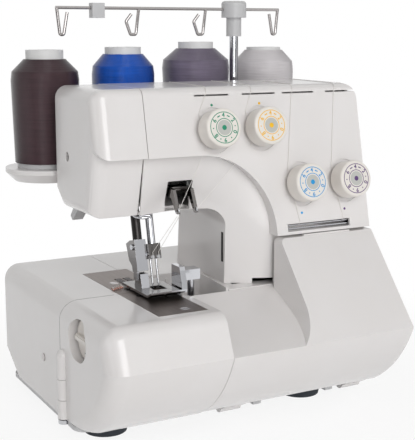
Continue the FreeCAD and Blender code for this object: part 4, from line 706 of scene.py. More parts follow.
@dataclass
class Skins:
    """Smooth copies of the CAD nodes, with eased edges on the mouldings.

    Attributes:
        merge: Points closer than this are one.
        flat, sharp, hard: Angles in degrees: up to the first, faces are joined, from the second on, edges
            stay sharp, and from the third on, they are eased.
        eased: Width of the eased edges by slot.
        turned: Slots whose pieces are made elsewhere.
        special: Finishes of single nodes that differ from their slot's.
        polished: The way that a node's chromed faces look, as long as the least share of it that counts.
    """

    merge: float = 0.001 * MM
    flat: float = 0.3
    sharp: float = 32
    hard: float = 50
    eased: ClassVar[dict[str, float]] = {
        "warm_white": 0.5 * MM, "dial_white": 0.35 * MM, "light_grey": 0.35 * MM, "plate_steel": 0.15 * MM,
        "chrome": 0.2 * MM, "black_plastic": 0.3 * MM}
    turned: ClassVar[tuple[str, ...]] = ("brown_thread", "blue_thread", "violet_thread", "silver_thread")
    special: ClassVar[dict[str, Finish]] = {
        "take_up_lever": DARK_CHROME, "presser_foot": DARK_SOLE, "cover_screws": WIRE,
        "front_plate_screws": WIRE, "needle_clamp": DARK_CHROME, "guide_bar": WIRE, "upper_knife": CHROME,
        "presser_holder": DARK_SOLE}
    polished: ClassVar[dict[str, Vector]] = {
        "presser_foot": Vector((0, -0.9, 0)), "presser_holder": Vector((0, -0.9, 0))}

    def build(self) -> None:
        """Make and fasten a copy of every node that is not wound thread."""
        slots = {part["node"]: part["material_slot"] for part in frame["record"]["subparts"]}
        for name, source in frame["nodes"].items():
            if slots[name] not in self.turned:
                piece = self.copy(name, source, self.eased.get(slots[name], 0.0))
                piece.data.materials.clear()
                piece.data.materials.append(self.special.get(name, SLOT_FINISH[slots[name]]).material())
                if name in self.polished:
                    self.polish(piece.data, self.polished[name])
                fasten(piece, source["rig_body"], slots[name], name)

    def polish(self, mesh: bpy.types.Mesh, way: Vector) -> None:
        """Give chrome to the faces that look one way.

        Args:
            mesh: The copy's mesh.
            way: The direction, as long as the least share of it that counts.
        """
        mesh.materials.append(CHROME.material())
        for face in mesh.polygons:
            face.material_index = int(face.normal.dot(way.normalized()) > way.length)

    def copy(self, name: str, source: bpy.types.Object, ease: float) -> bpy.types.Object:
        """A merged copy of a node.

        Args:
            name: The node's name.
            source: The node.
            ease: Width of the eased edges, or 0.

        Returns:
            The copy, with its modifiers applied.
        """
        shape = bmesh.new()
        shape.from_mesh(source.data)
        bmesh.ops.remove_doubles(shape, verts=shape.verts, dist=self.merge)
        bmesh.ops.dissolve_limit(shape, angle_limit=math.radians(self.flat), verts=shape.verts,
                                 edges=shape.edges)
        mesh = bpy.data.meshes.new(f"{name}_skin")
        index = {vert: i for i, vert in enumerate(shape.verts)}
        mesh.from_pydata([vert.co for vert in shape.verts], [],
                         [[index[vert] for vert in face.verts] for face in shape.faces])
        shape.free()
        mesh.shade_smooth()
        mesh.set_sharp_from_angle(angle=math.radians(self.sharp))
        piece = new_object(f"{name}_skin", mesh)
        if ease:
            bevel = piece.modifiers.new("ease", "BEVEL")
            bevel.width = ease
            bevel.segments = 2
            bevel.limit_method = "ANGLE"
            bevel.angle_limit = math.radians(self.hard)
            bevel.use_clamp_overlap = True
        weigh = piece.modifiers.new("weigh", "WEIGHTED_NORMAL")
        weigh.keep_sharp = True
        return bake(piece)


@dataclass(frozen=True)
class Lamp:
    """A soft square lamp.

    Attributes:
        name: Its name.
        place: Where it stands.
        size: Its side.
        power: Its power in watts.
    """

    name: str
    place: tuple[float, float, float]
    size: float
    power: float

    def build(self, target: Vector) -> None:
        """Hang the lamp so that it faces a place.

        Args:
            target: The place.
        """
        light = bpy.data.lights.new(self.name, "AREA")
        light.size = self.size
        light.energy = self.power
        lamp = bpy.data.objects.new(self.name, light)
        lamp.location = self.place
        lamp.rotation_euler = (target - Vector(self.place)).to_track_quat("-Z", "Y").to_euler()
        bpy.context.scene.collection.objects.link(lamp)


@dataclass
class Studio:
    """The floor, the lamps, the white surround and the camera.

    Attributes:
        yaw, pitch: The camera's turn to the right and down, in degrees.
        camera_place: Where the camera stands.
        focal_pixels, image_height: The lens in pixels, for a picture of this height.
        sensor: Width of the camera's sensor in millimetres.
        shift: The picture's shift to the right and up, as shares of the sensor.
        floor_half: Half the floor's side.
        floor_grey, floor_roughness: How much light the floor gives back, and how dull it is.
        fade: Distances at which the floor starts and ends its fade to white, and the shares of white there.
        room_strength: Strength of the room's own light.
        room_grey: Where the room turns from its front grey to its back grey, and those two greys.
        windows: Bright stripes round the room, which the metal mirrors, and their strength.
        stripe, above, behind: The same four numbers for a stripe, for the light above and for that behind.
        target: What the lamps face.
        lamps: Every lamp.
    """

    yaw: float = 28.4
    pitch: float = 10.2
    camera_place: tuple[float, float, float] = (-0.431, -0.800, 0.332)
    focal_pixels: float = 1022
    image_height: float = 440
    sensor: float = 36
    shift: tuple[float, float] = (0.0011, -0.0136)
    floor_half: float = 1.2
    floor_grey: float = 0.9
    floor_roughness: float = 0.9
    fade: Span = (0.2, 0.45, 0.88, 1.0)
    room_strength: float = 0.52
    room_grey: Span = (-0.8, 0.5, 0.3, 0.8)
    windows: tuple[float, float] = (5.0, 0.9)
    stripe: Span = (-0.2, 0.5, 0.05, 0.75)
    above: Span = (0.15, 0.6, 0.0, 0.45)
    behind: Span = (0.3, 0.8, 0.0, 1.1)
    target: tuple[float, float, float] = (0, 0, 0.15)
    lamps: tuple[Lamp, ...] = (
        Lamp("key", (-0.25, -2.3, 1.0), 1.5, 29), Lamp("fill", (1.9, -1.3, 0.9), 1.2, 5),
        Lamp("low", (-0.5, -2.1, 0.22), 0.9, 5), Lamp("top", (-0.1, 0.1, 2.3), 1.8, 2.6),
        Lamp("left", (-2.1, -0.4, 0.8), 1.0, 4.0))

    def build(self) -> None:
        """Set the whole stage."""
        bpy.context.scene.view_settings.view_transform = "Standard"
        self.floor()
        self.surround()
        for lamp in self.lamps:
            lamp.build(Vector(self.target))
        self.camera()

    def floor(self) -> None:
        """A pale floor that keeps the shadow and fades to white away from the machine."""
        shape = bmesh.new()
        bmesh.ops.create_grid(shape, x_segments=1, y_segments=1, size=self.floor_half)
        floor = new_object("floor", mesh_from("floor", shape))
        material = bpy.data.materials.new("pale_floor")
        material.use_nodes = True
        graph = Graph(material.node_tree)
        shader = material.node_tree.nodes["Principled BSDF"]
        shader.inputs["Base Color"].default_value = (*(self.floor_grey,) * 3, 1)
        shader.inputs["Roughness"].default_value = self.floor_roughness
        light = graph.add("ShaderNodeEmission", {"Color": (1, 1, 1, 1), "Strength": 1.0})
        path = graph.add("ShaderNodeLightPath").outputs
        place = graph.add("ShaderNodeTexCoord").outputs["Object"]
        distance = graph.add("ShaderNodeVectorMath", {0: place}, operation="LENGTH").outputs["Value"]
        far = graph.span(distance, *self.fade)
        seen = graph.math("MAXIMUM", self.clear_view(graph, path), path["Is Glossy Ray"])
        mixed = graph.add("ShaderNodeMixShader", {0: graph.math("MULTIPLY", seen, far), 1: shader.outputs[0],
                                                  2: light.outputs[0]})
        graph.join(mixed.outputs[0], material.node_tree.nodes["Material Output"].inputs[0])
        floor.data.materials.append(material)

    def clear_view(self, graph: Graph, path: bpy.types.NodeOutputs) -> Socket:
        """Which rays come from the camera, straight or through glass.

        Args:
            graph: The graph of the floor or of the surround.
            path: The outputs of its light path node.

        Returns:
            1 for such a ray, and 0 for any other.
        """
        return graph.math("MAXIMUM", path["Is Camera Ray"], path["Is Transmission Ray"])

    def surround(self) -> None:
        """White behind the machine, and a greyer room on the camera's side for the metal to mirror."""
        world = bpy.data.worlds.new("studio")
        world.use_nodes = True
        bpy.context.scene.world = world
        graph = Graph(world.node_tree)
        room = world.node_tree.nodes["Background"]
        direction = graph.add("ShaderNodeTexCoord").outputs["Generated"]
        along = graph.add("ShaderNodeSeparateXYZ", {0: direction}).outputs
        depth = graph.span(along[1], *self.room_grey)
        grey = graph.add("ShaderNodeCombineColor", {0: depth, 1: depth, 2: depth})
        graph.join(grey.outputs[0], room.inputs["Color"])
        room.inputs["Strength"].default_value = self.room_strength
        white = graph.add("ShaderNodeBackground", {"Color": (1, 1, 1, 1), "Strength": 1.0})
        path = graph.add("ShaderNodeLightPath").outputs
        count, strength = self.windows
        around = graph.math("MULTIPLY", graph.math("ARCTAN2", along[1], along[0]), count)
        stripe = graph.span(graph.math("SINE", around), *self.stripe)
        above = graph.span(along[2], *self.above)
        behind = graph.span(along[1], *self.behind)
        bright = graph.math("MAXIMUM", graph.math("ADD", stripe, above), behind)
        pane = graph.add("ShaderNodeCombineColor", {0: bright, 1: bright, 2: bright})
        windows = graph.add("ShaderNodeBackground", {"Strength": strength, "Color": pane.outputs[0]})
        inside = graph.add("ShaderNodeMixShader", {0: path["Is Glossy Ray"], 1: room.outputs[0],
                                                   2: windows.outputs[0]})
        mixed = graph.add("ShaderNodeMixShader", {0: self.clear_view(graph, path), 1: inside.outputs[0],
                                                  2: white.outputs[0]})
        graph.join(mixed.outputs[0], world.node_tree.nodes["World Output"].inputs[0])

    def camera(self) -> None:
        """Stand the camera where the photograph was taken."""
        lens = bpy.data.cameras.new("camera")
        lens.sensor_width = self.sensor
        lens.lens = lens.sensor_width * self.focal_pixels / self.image_height
        lens.shift_x, lens.shift_y = self.shift
        camera = bpy.data.objects.new("camera", lens)
        camera.location = self.camera_place
        yaw, pitch = math.radians(self.yaw), math.radians(self.pitch)
        forward = Vector((math.sin(yaw) * math.cos(pitch), math.cos(yaw) * math.cos(pitch), -math.sin(pitch)))
        camera.rotation_euler = forward.to_track_quat("-Z", "Y").to_euler()
        bpy.context.scene.collection.objects.link(camera)
        bpy.context.scene.camera = camera


@dataclass
class ThreadCone:
    """A thread cone wound on its spool.

    Attributes:
        name: The CAD node's first word.
        finish: The thread.
        ridge: Height of the laid thread.
        row: Height of a row of it.
        steps: Points round the cone.
        smooth_angle: Edges sharper than this many degrees stay sharp.
    """

    name: str
    finish: Finish
    ridge: float = 0.12 * MM
    row: float = 0.9 * MM
    steps: int = 128
    smooth_angle: float = 50

    def build(self) -> None:
        """Turn the winding in the space of its CAD solid, with its laid turns."""
        node = f"{self.name}_thread_cone"
        low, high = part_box(node)
        middle = (low + high) / 2
        rows = self.rows(frame["nodes"][node].data, middle)
        mesh = mesh_from(node, lathe(rows, self.steps), self.smooth_angle)
        winding = mesh.attributes.new("winding", "FLOAT_VECTOR", "POINT")
        for vert, entry in zip(mesh.vertices, winding.data):
            entry.vector = vert.co
        mesh.transform(Matrix.Translation((middle.x, middle.y, 0)))
        fasten(new_object(f"{self.name}_winding", mesh, self.finish), "machine", f"{self.name}_thread", node)

    def rows(self, solid: bpy.types.Mesh, middle: Vector) -> list[tuple[float, float]]:
        """Rows up the winding, read from the solid's own outline.

        Args:
            solid: The CAD solid.
            middle: The middle of its box.

        Returns:
            Radius and height of each row, with the thread's ridges.
        """
        outline: dict[float, list[float]] = {}
        for vert in solid.vertices:
            reach = math.hypot(vert.co.x - middle.x, vert.co.y - middle.y)
            outline.setdefault(round(vert.co.z, 5), []).append(reach)
        corners = [(max(reach), height) for height, reach in sorted(outline.items())]
        core = min(min(reach) for reach in outline.values())
        rows = [(core, corners[0][1])]
        count = 0
        for (radius, height), (after, above) in zip(corners, corners[1:]):
            steps = max(2, int((above - height) / self.row))
            for step in range(steps):
                part = step / steps
                groove = self.ridge if count % 2 else 0
                rows.append((radius + (after - radius) * part - groove, height + (above - height) * part))
                count += 1
        return rows + [corners[-1], (core, corners[-1][1])]


# The lean of the needle bar and of the tension panel, and a place on each of them in millimetres.
TILT, BAR_Y, BAR_Z = math.radians(12.5), -18, 175
PANEL_LEAN, PANEL_Y, PANEL_Z = math.radians(12.17), -68.6, 157
LEFT, RIGHT, FRONT, DOWN = (Vector(way) for way in ((-1, 0, 0), (1, 0, 0), (0, -1, 0), (0, 0, -1)))


def leaning(x: float, y: float, along: float) -> Vector:
    """A place in the sewing head, measured along its leaning bars.

    Args:
        x: Millimetres to the right.
        y: Millimetres behind the needle bar, square to it.
        along: Millimetres up the bar.

    Returns:
        The place in the frame.
    """
    return mm(x, BAR_Y + y * math.cos(TILT) + along * math.sin(TILT),
              BAR_Z - y * math.sin(TILT) + along * math.cos(TILT))


def on_panel(x: float, z: float, proud: float = 0.0) -> Vector:
    """A place on the tension panel's face.

    Args:
        x, z: Millimetres to the right and up.
        proud: Millimetres in front of the face.

    Returns:
        The place in the frame.
    """
    return mm(x, PANEL_Y + (z - PANEL_Z) * math.tan(PANEL_LEAN) - proud, z)


def facing(place: Vector, normal: Vector) -> Matrix:
    """A flat frame on a face, with its Z along the normal and its Y as near to upright as it goes.

    Args:
        place: The frame's origin.
        normal: The face's outward direction.

    Returns:
        The frame's matrix.
    """
    axis = normal.normalized()
    upright = Vector((0, 1, 0)) if abs(axis.z) > 0.9 else Vector((0, 0, 1))
    up = (upright - axis * axis.dot(upright)).normalized()
    turn = Matrix((up.cross(axis), up, axis)).transposed()
    return Matrix.Translation(place) @ turn.to_4x4()


@dataclass
class Print:
    """Ink on one flat face: rings, dots, bars and numerals.

    Attributes:
        depth: How thick the ink is.
        lift: How far it lies above the face.
        sides: Points round a ring.
        weight: How much bolder a numeral is, as a share of its size.
    """

    depth: float = 0.05 * MM
    lift: float = 0.01 * MM
    sides: int = 48
    weight: float = 0.025

    def __post_init__(self) -> None:
        """Start with no ink."""
        self.shape = bmesh.new()

    def take(self, mesh: bpy.types.Mesh, place: Matrix) -> None:
        """Add a mesh to the print.

        Args:
            mesh: What to add, which is removed afterwards.
            place: Where it lies on the face.
        """
        mesh.transform(place)
        self.shape.from_mesh(mesh)
        bpy.data.meshes.remove(mesh)

    def round_the_dial(self, radius: float, turn: float) -> Matrix:
        """A place round the face's middle, halfway through the ink.

        Args:
            radius: Its distance in millimetres.
            turn: Its turn clockwise from the top, in degrees.

        Returns:
            The place, turned to look outwards.
        """
        return (Matrix.Rotation(-math.radians(turn), 4, "Z")
                @ Matrix.Translation(mm(0, radius, self.depth / MM / 2)))

    def ring(self, inner: float, outer: float, x: float = 0, y: float = 0) -> None:
        """Add a ring, or a dot where the inner radius is 0.

        Args:
            inner, outer: Its radii in millimetres.
            x, y: Its middle in millimetres.
        """
        rows = [(inner, 0), (outer, 0), (outer, self.depth / MM), (inner, self.depth / MM)]
        rows += rows[:1] if inner else []
        turned = lathe([(radius * MM, height * MM) for radius, height in rows], self.sides)
        self.take(mesh_from("ring", turned), Matrix.Translation(mm(x, y, 0)))

    def bar(self, width: float, height: float, radius: float, turn: float) -> None:
        """Add a bar.

        Args:
            width, height: Its sides in millimetres.
            radius, turn: Its place round the middle, in millimetres and degrees.
        """
        shape = bmesh.new()
        bmesh.ops.create_cube(shape, size=1)
        bmesh.ops.scale(shape, vec=(width * MM, height * MM, self.depth), verts=shape.verts)
        self.take(mesh_from("bar", shape), self.round_the_dial(radius, turn))

    def numeral(self, text: str, size: float, radius: float, turn: float) -> None:
        """Add a numeral.

        Args:
            text: The number.
            size: Its size in millimetres.
            radius, turn: Its place round the middle, in millimetres and degrees.
        """
        curve = bpy.data.curves.new("numeral", "FONT")
        curve.body, curve.size, curve.extrude = text, size * MM, self.depth / 2
        curve.offset = size * self.weight * MM
        curve.align_x, curve.align_y = "CENTER", "CENTER"
        self.take(mesh_of_curve("numeral", curve), self.round_the_dial(radius, turn))

    def lay(self, name: str, finish: Finish, face: Matrix, body: str, slot: str) -> None:
        """Lay the print on its face and fasten it.

        Args:
            name: The piece's name.
            finish: The ink.
            face: The face's frame.
            body: The body that it moves with.
            slot: The record's material slot.
        """
        mesh = mesh_from(name, self.shape)
        mesh.transform(face @ Matrix.Translation((0, 0, self.lift)))
        fasten(new_object(name, mesh, finish), body, slot)


@dataclass
class TensionDial:
    """The printing of one tension dial and the dot that it is read against, in millimetres and degrees.

    Attributes:
        name: The dial's body.
        finish: Its ink.
        mark_x, mark_z: The dot's place on the panel.
        mark_radius: The dot's radius.
        rings: Inner and outer radius of each coloured ring, and of the dot in the middle.
        middle: Inner and outer radius of the grey ring.
        reach: Radius of the scale.
        numeral_size: Size of the numbers.
        numerals: Each number and its turn from the top.
        dashes: Turns of the dashes.
        dash: Width and height of a dash.
        dots: Turns of the small dots.
        dot_radius: Their radius.
    """

    name: str
    finish: Finish
    mark_x: float
    mark_z: float
    mark_radius: float = 1.15
    rings: tuple[tuple[float, float], ...] = ((12.6, 13.2), (7.2, 7.8), (0, 2.1))
    middle: tuple[float, float] = (2.1, 6.3)
    reach: float = 10.3
    numeral_size: float = 5.0
    numerals: tuple[tuple[str, float], ...] = (("4", 0), ("2", 56), ("0", 112), ("9", 180), ("8", 232),
                                               ("6", 304))
    dashes: tuple[float, ...] = (-26, 26)
    dash: tuple[float, float] = (2.8, 0.9)
    dots: tuple[float, ...] = (84, 146, 206, 268)
    dot_radius: float = 0.55

    def build(self) -> None:
        """Print the scale, the middle and the dot."""
        joint = next(entry for entry in frame["joints"] if entry["child"] == self.name)
        axis, origin = Vector(joint["axis"]).normalized(), Vector(joint["pos_m"])
        proud = max((vert.co - origin).dot(axis) for vert in frame["nodes"][self.name].data.vertices)
        face = facing(origin + axis * proud, axis)
        scale = Print()
        for inner, outer in self.rings:
            scale.ring(inner, outer)
        for text, turn in self.numerals:
            scale.numeral(text, self.numeral_size, self.reach, turn)
        for turn in self.dashes:
            scale.bar(*self.dash, self.reach, turn)
        for turn in self.dots:
            angle = math.radians(90 - turn)
            scale.ring(0, self.dot_radius, self.reach * math.cos(angle), self.reach * math.sin(angle))
        scale.lay(f"{self.name}_scale", self.finish, face, self.name, "dial_white")
        middle = Print()
        middle.ring(*self.middle)
        middle.lay(f"{self.name}_middle", PALE_GREY_INK, face, self.name, "dial_white")
        mark = Print()
        mark.ring(0, self.mark_radius)
        spot = facing(on_panel(self.mark_x, self.mark_z), axis)
        mark.lay(f"{self.name}_mark", self.finish, spot, "machine", "warm_white")


@dataclass(frozen=True)
class RibRing:
    """Grip ribs round a wheel whose axis is X, in millimetres.

    Attributes:
        name: The piece's name.
        body: The body that they sit on.
        middle: The middle of the ring, in metres.
        radius: The ring's radius.
        count: How many ribs.
        length: Length of a rib.
        thick: Radius of a rib.
        sides: Points round a rib.
    """

    name: str
    body: str
    middle: Vector
    radius: float
    count: int
    length: float
    thick: float
    sides: int = 12


class Repeats:
    """Geometry node trees that set out what repeats.

    Attributes:
        disc: Radius and height of each point of a screw head's disc, for a radius of 1 mm.
        half: The same for the raised halves beside its slot.
        slot_half: Half the slot's width.
        sides, half_points: Points round the disc, and round a half.
    """

    disc: ClassVar[tuple[tuple[float, float], ...]] = ((0, -0.2), (0.92, -0.2), (1, 0), (1, 0.28), (0, 0.28))
    half: ClassVar[tuple[tuple[float, float], ...]] = ((1, 0.28), (1, 0.46), (0.9, 0.55))
    slot_half: ClassVar[float] = 0.2
    sides: ClassVar[int] = 24
    half_points: ClassVar[int] = 11

    def __init__(self) -> None:
        """Build both trees."""
        self.placed = self.build_placed()
        self.ringed = self.build_ringed()

    def start(self, name: str, inputs: dict[str, str]) -> tuple[Graph, bpy.types.Node]:
        """Make an empty tree with named inputs.

        Args:
            name: The tree's name.
            inputs: Socket kind by name.

        Returns:
            The tree's graph and its input node.
        """
        tree = bpy.data.node_groups.new(name, "GeometryNodeTree")
        for label, kind in {"Geometry": "Geometry", **inputs}.items():
            tree.interface.new_socket(label, in_out="INPUT", socket_type=f"NodeSocket{kind}")
        tree.interface.new_socket("Geometry", in_out="OUTPUT", socket_type="NodeSocketGeometry")
        graph = Graph(tree)
        return graph, graph.add("NodeGroupInput")

    def end(self, graph: Graph, given: bpy.types.Node, copies: Socket) -> bpy.types.NodeTree:
        """Close a tree: real geometry with its material.

        Args:
            graph: The tree's graph.
            given: Its input node.
            copies: The instances.

        Returns:
            The tree.
        """
        real = graph.add("GeometryNodeRealizeInstances", {"Geometry": copies})
        dressed = graph.add("GeometryNodeSetMaterial", {"Geometry": real.outputs[0],
                                                        "Material": given.outputs["Finish"]})
        graph.add("NodeGroupOutput", {0: dressed.outputs[0]})
        return graph.tree

    def build_placed(self) -> bpy.types.NodeTree:
        """Copies at given points, each turned to its point's facing and sized by its point's size.

        Returns:
            The tree.
        """
        graph, given = self.start("placed", {"Piece": "Object", "Finish": "Material"})
        piece = graph.add("GeometryNodeObjectInfo", {"Object": given.outputs["Piece"]})
        way = graph.add("GeometryNodeInputNamedAttribute", {"Name": "facing"}, data_type="FLOAT_VECTOR")
        size = graph.add("GeometryNodeInputNamedAttribute", {"Name": "size"}, data_type="FLOAT")
        turn = graph.add("FunctionNodeAlignRotationToVector", {"Vector": way.outputs[0]}, axis="Z")
        copies = graph.add("GeometryNodeInstanceOnPoints", {
            "Points": given.outputs["Geometry"], "Instance": piece.outputs["Geometry"],
            "Rotation": turn.outputs[0], "Scale": size.outputs[0]})
        return self.end(graph, given, copies.outputs[0])

    def build_ringed(self) -> bpy.types.NodeTree:
        """Copies round a ring in the XY plane.

        Returns:
            The tree.
        """
        graph, given = self.start("ringed", {"Piece": "Object", "Count": "Int", "Radius": "Float",
                                             "Finish": "Material"})
        piece = graph.add("GeometryNodeObjectInfo", {"Object": given.outputs["Piece"]})
        ring = graph.add("GeometryNodeMeshCircle", {"Vertices": given.outputs["Count"],
                                                    "Radius": given.outputs["Radius"]})
        outward = graph.add("GeometryNodeInputPosition")
        turn = graph.add("FunctionNodeAlignRotationToVector", {"Vector": outward.outputs[0]}, axis="X")
        copies = graph.add("GeometryNodeInstanceOnPoints", {
            "Points": ring.outputs["Mesh"], "Instance": piece.outputs["Geometry"],
            "Rotation": turn.outputs[0]})
        return self.end(graph, given, copies.outputs[0])

    def run(self, tree: bpy.types.NodeTree, piece: bpy.types.Object, values: dict[str, object]) -> None:
        """Run a tree on a piece and keep the result as its mesh.

        Args:
            tree: Which tree.
            piece: The piece, whose mesh the result replaces.
            values: The tree's inputs by name.
        """
        modifier = piece.modifiers.new("repeat", "NODES")
        modifier.node_group = tree
        for socket in tree.interface.items_tree:
            if socket.in_out == "INPUT" and socket.name in values:
                modifier[socket.identifier] = values[socket.name]
        bake(piece)
        piece.data.set_sharp_from_angle(angle=math.radians(SMOOTH))

    def screws(self, name: str, body: str, slot: str, finish: Finish,
               places: list[tuple[Vector, Vector, float]]) -> None:
        """Set slotted screw heads on a body.

        Args:
            name: The piece's name.
            body: The body that they sit on.
            slot: The record's material slot.
            finish: Their finish.
            places: Place, outward direction and head radius in millimetres of each.
        """
        mesh = bpy.data.meshes.new(name)
        mesh.from_pydata([place for place, _, _ in places], [], [])
        mesh.attributes.new("facing", "FLOAT_VECTOR", "POINT")
        mesh.attributes.new("size", "FLOAT", "POINT")
        for entry, (_, normal, _) in zip(mesh.attributes["facing"].data, places):
            entry.vector = normal
        for entry, (_, _, radius) in zip(mesh.attributes["size"].data, places):
            entry.value = radius
        piece = new_object(name, mesh)
        head = new_object("screw_head", self.head())
        self.run(self.placed, piece, {"Piece": head, "Finish": finish.material()})
        bpy.data.objects.remove(head)
        fasten(piece, body, slot)

    def head(self) -> bpy.types.Mesh:
        """A slotted screw head with a radius of 1 mm: a disc with two raised halves beside the slot.

        Returns:
            The head, which faces up.
        """
        shape = lathe([(radius * MM, height * MM) for radius, height in self.disc], self.sides)
        edge, points = math.asin(self.slot_half), self.half_points
        for side in (0, math.pi):
            arc = [edge + side + (math.pi - 2 * edge) * step / (points - 1) for step in range(points)]
            rings = [[shape.verts.new(mm(radius * math.cos(turn), radius * math.sin(turn), height))
                      for turn in arc] for radius, height in self.half]
            for low, high in zip(rings, rings[1:]):
                for step in range(points):
                    after = (step + 1) % points
                    shape.faces.new((low[step], low[after], high[after], high[step]))
            shape.faces.new(rings[-1])
        return mesh_from("screw_head", shape)

    def ribs(self, ring: RibRing) -> None:
        """Set grip ribs round a dial-white wheel.

        Args:
            ring: Their sizes.
        """
        half = ring.length / 2
        rows = [(0, -half), (0.5, -half), (1, -half + 1), (1, half - 1), (0.5, half), (0, half)]
        shape = lathe([(part * ring.thick * MM, height * MM) for part, height in rows], ring.sides)
        rib = new_object("rib", mesh_from("rib", shape))
        piece = new_object(ring.name, bpy.data.meshes.new(ring.name))
        self.run(self.ringed, piece, {"Piece": rib, "Count": ring.count, "Radius": ring.radius * MM,
                                      "Finish": DIAL_WHITE.material()})
        bpy.data.objects.remove(rib)
        piece.data.transform(Matrix.Translation(ring.middle) @ Matrix.Rotation(math.pi / 2, 4, "Y"))
        fasten(piece, ring.body, "dial_white")


@dataclass
class Controls:
    """Ribs, scales and marks of the wheel, the knobs, the switch and the cutting width dial, in millimetres.

    Attributes:
        repeats: The trees for ribs.
        wheel: The middle of the handwheel's ribs.
        knobs: Body, and Y and Z of the axis, of each knob.
        knob_ribs, knob_face, end_face: X of the knobs' ribs, of their faces and of the casing's end.
        pointer: Width, length and distance from the axis of a knob's pointer.
        tick_reach, number_reach: Radii of a knob's ticks and numbers.
        number_size: Size of a knob's numbers.
        ticks, numbers: How many ticks and numbers a knob has.
        tick_width, tick_lengths: Width of a tick, and lengths of a tick with a number and of one without.
        scale_start, scale_step: Turn of a knob's first tick, and from tick to tick, in degrees.
        switch: Y and Z of the switch's middle.
        switch_mark: Distance of its marks from there.
        switch_bar, switch_ring: Width and length of its bar, and radii of its ring.
        window_half: Half the straight part of the finger window.
        sleeve_radii: Inner and outer radius of the window's sleeve.
        sleeve_sunk, sleeve_past: How deep the sleeve starts in the cover's wall, and how far behind the
            dial's front it ends.
        sleeve_steps: Points round the sleeve.
        dial_ribs, dial_face: How far behind the dial's front its ribs and its face are.
        grip: Width, length and height of the dial's grip.
        grip_rise, grip_ease: Height of its middle over the face, and its rounding.
        dot_radius, dot_reach: Radius of the dial's two dots, and their distance from its axis.
    """

    repeats: Repeats
    wheel: tuple[float, float, float] = (145, 30, 62)
    knobs: tuple[tuple[str, float, float], ...] = (("stitch_length_knob", -24, 128),
                                                   ("differential_feed_knob", 22, 130))
    knob_ribs: float = 138.3
    knob_face: float = 144.5
    end_face: float = 132
    pointer: tuple[float, float, float] = (1.4, 8, 8.5)
    tick_reach: float = 17.2
    number_reach: float = 20.3
    number_size: float = 3.6
    ticks: int = 9
    numbers: int = 5
    tick_width: float = 0.6
    tick_lengths: tuple[float, float] = (1.8, 1.1)
    scale_start: float = -100
    scale_step: float = 25
    switch: tuple[float, float] = (96, 86)
    switch_mark: float = 7.2
    switch_bar: tuple[float, float] = (0.9, 4.4)
    switch_ring: tuple[float, float] = (1.6, 2.3)
    window_half: float = 2
    sleeve_radii: tuple[float, float] = (17.3, 18.4)
    sleeve_sunk: float = 1.2
    sleeve_past: float = 3.2
    sleeve_steps: int = 64
    dial_ribs: float = 3.6
    dial_face: float = 1.2
    grip: tuple[float, float, float] = (5.2, 29, 4.4)
    grip_rise: float = 1.6
    grip_ease: float = 1.2
    dot_radius: float = 0.7
    dot_reach: float = 11

    def build(self) -> None:
        """Dress every control of the right end and the cutting width dial."""
        self.repeats.ribs(RibRing("handwheel_ribs", "main_shaft", mm(*self.wheel), radius=35.9, count=44,
                                  length=15, thick=0.8))
        self.repeats.ribs(RibRing("width_dial_ribs", "width_dial", self.dial_axis(self.dial_ribs),
                                  radius=15.9, count=36, length=5, thick=0.6))
        for name, y, z in self.knobs:
            self.repeats.ribs(RibRing(f"{name}_ribs", name, mm(self.knob_ribs, y, z), radius=14.9, count=34,
                                      length=8.5, thick=0.6))
            self.knob(name, y, z)
        self.switch_marks()
        self.window_sleeve()
        self.dial_grip()

    def dial_axis(self, behind: float) -> Vector:
        """A place on the cutting width dial's axis, so many millimetres behind the dial's front."""
        low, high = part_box("width_dial")
        return Vector((low.x + behind * MM, (low.y + high.y) / 2, (low.z + high.z) / 2))

    def knob(self, name: str, y: float, z: float) -> None:
        """A pointer on a knob and a numbered scale round it.

        Args:
            name: The knob's body.
            y, z: Its axis.
        """
        pointer = Print()
        pointer.bar(*self.pointer, 0)
        pointer.lay(f"{name}_pointer", MOTOR_BLACK, facing(mm(self.knob_face, y, z), RIGHT), name,
                    "dial_white")
        scale = Print()
        for step in range(self.ticks):
            scale.bar(self.tick_width, self.tick_lengths[step % 2], self.tick_reach,
                      self.scale_start + self.scale_step * step)
        for step in range(self.numbers):
            scale.numeral(str(step), self.number_size, self.number_reach,
                          self.scale_start + 2 * self.scale_step * step)
        scale.lay(f"{name}_scale", MOTOR_BLACK, facing(mm(self.end_face, y, z), RIGHT), "machine",
                  "warm_white")

    def switch_marks(self) -> None:
        """A bar and a ring on the rocker's two ends."""
        y, z = self.switch
        marks = Print()
        marks.bar(*self.switch_bar, self.switch_mark, 0)
        marks.ring(*self.switch_ring, 0, -self.switch_mark)
        face = facing(Vector((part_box("power_switch")[1].x, y * MM, z * MM)), RIGHT)
        marks.lay("power_switch_marks", PALE_GREY_INK, face, "power_switch", "black_plastic")

    def window_sleeve(self) -> None:
        """A white sleeve that lines the finger window, from the cover's wall to the cutting width dial."""
        middle = self.dial_axis(self.sleeve_past)
        wall, shape, loops = walls("swing_cover"), bmesh.new(), []
        for step in range(self.sleeve_steps):
            turn = math.tau * (step + 0.5) / self.sleeve_steps
            across, up = math.cos(turn), math.sin(turn)
            side = math.copysign(self.window_half, across)
            near, far = (middle + mm(0, side + radius * across, radius * up) for radius in self.sleeve_radii)
            start = wall.ray_cast(far + LEFT, RIGHT)[0].x + self.sleeve_sunk * MM
            loops.append([shape.verts.new((x, place.y, place.z)) for x, place in (
                (start, near), (middle.x, near), (middle.x, far), (start, far))])
        for here, after in zip(loops, loops[1:] + loops[:1]):
            for corner in range(4):
                beside = (corner + 1) % 4
                shape.faces.new((here[corner], here[beside], after[beside], after[corner]))
        fasten(new_object("window_sleeve", mesh_from("window_sleeve", shape), WARM_WHITE), "swing_cover",
               "warm_white")

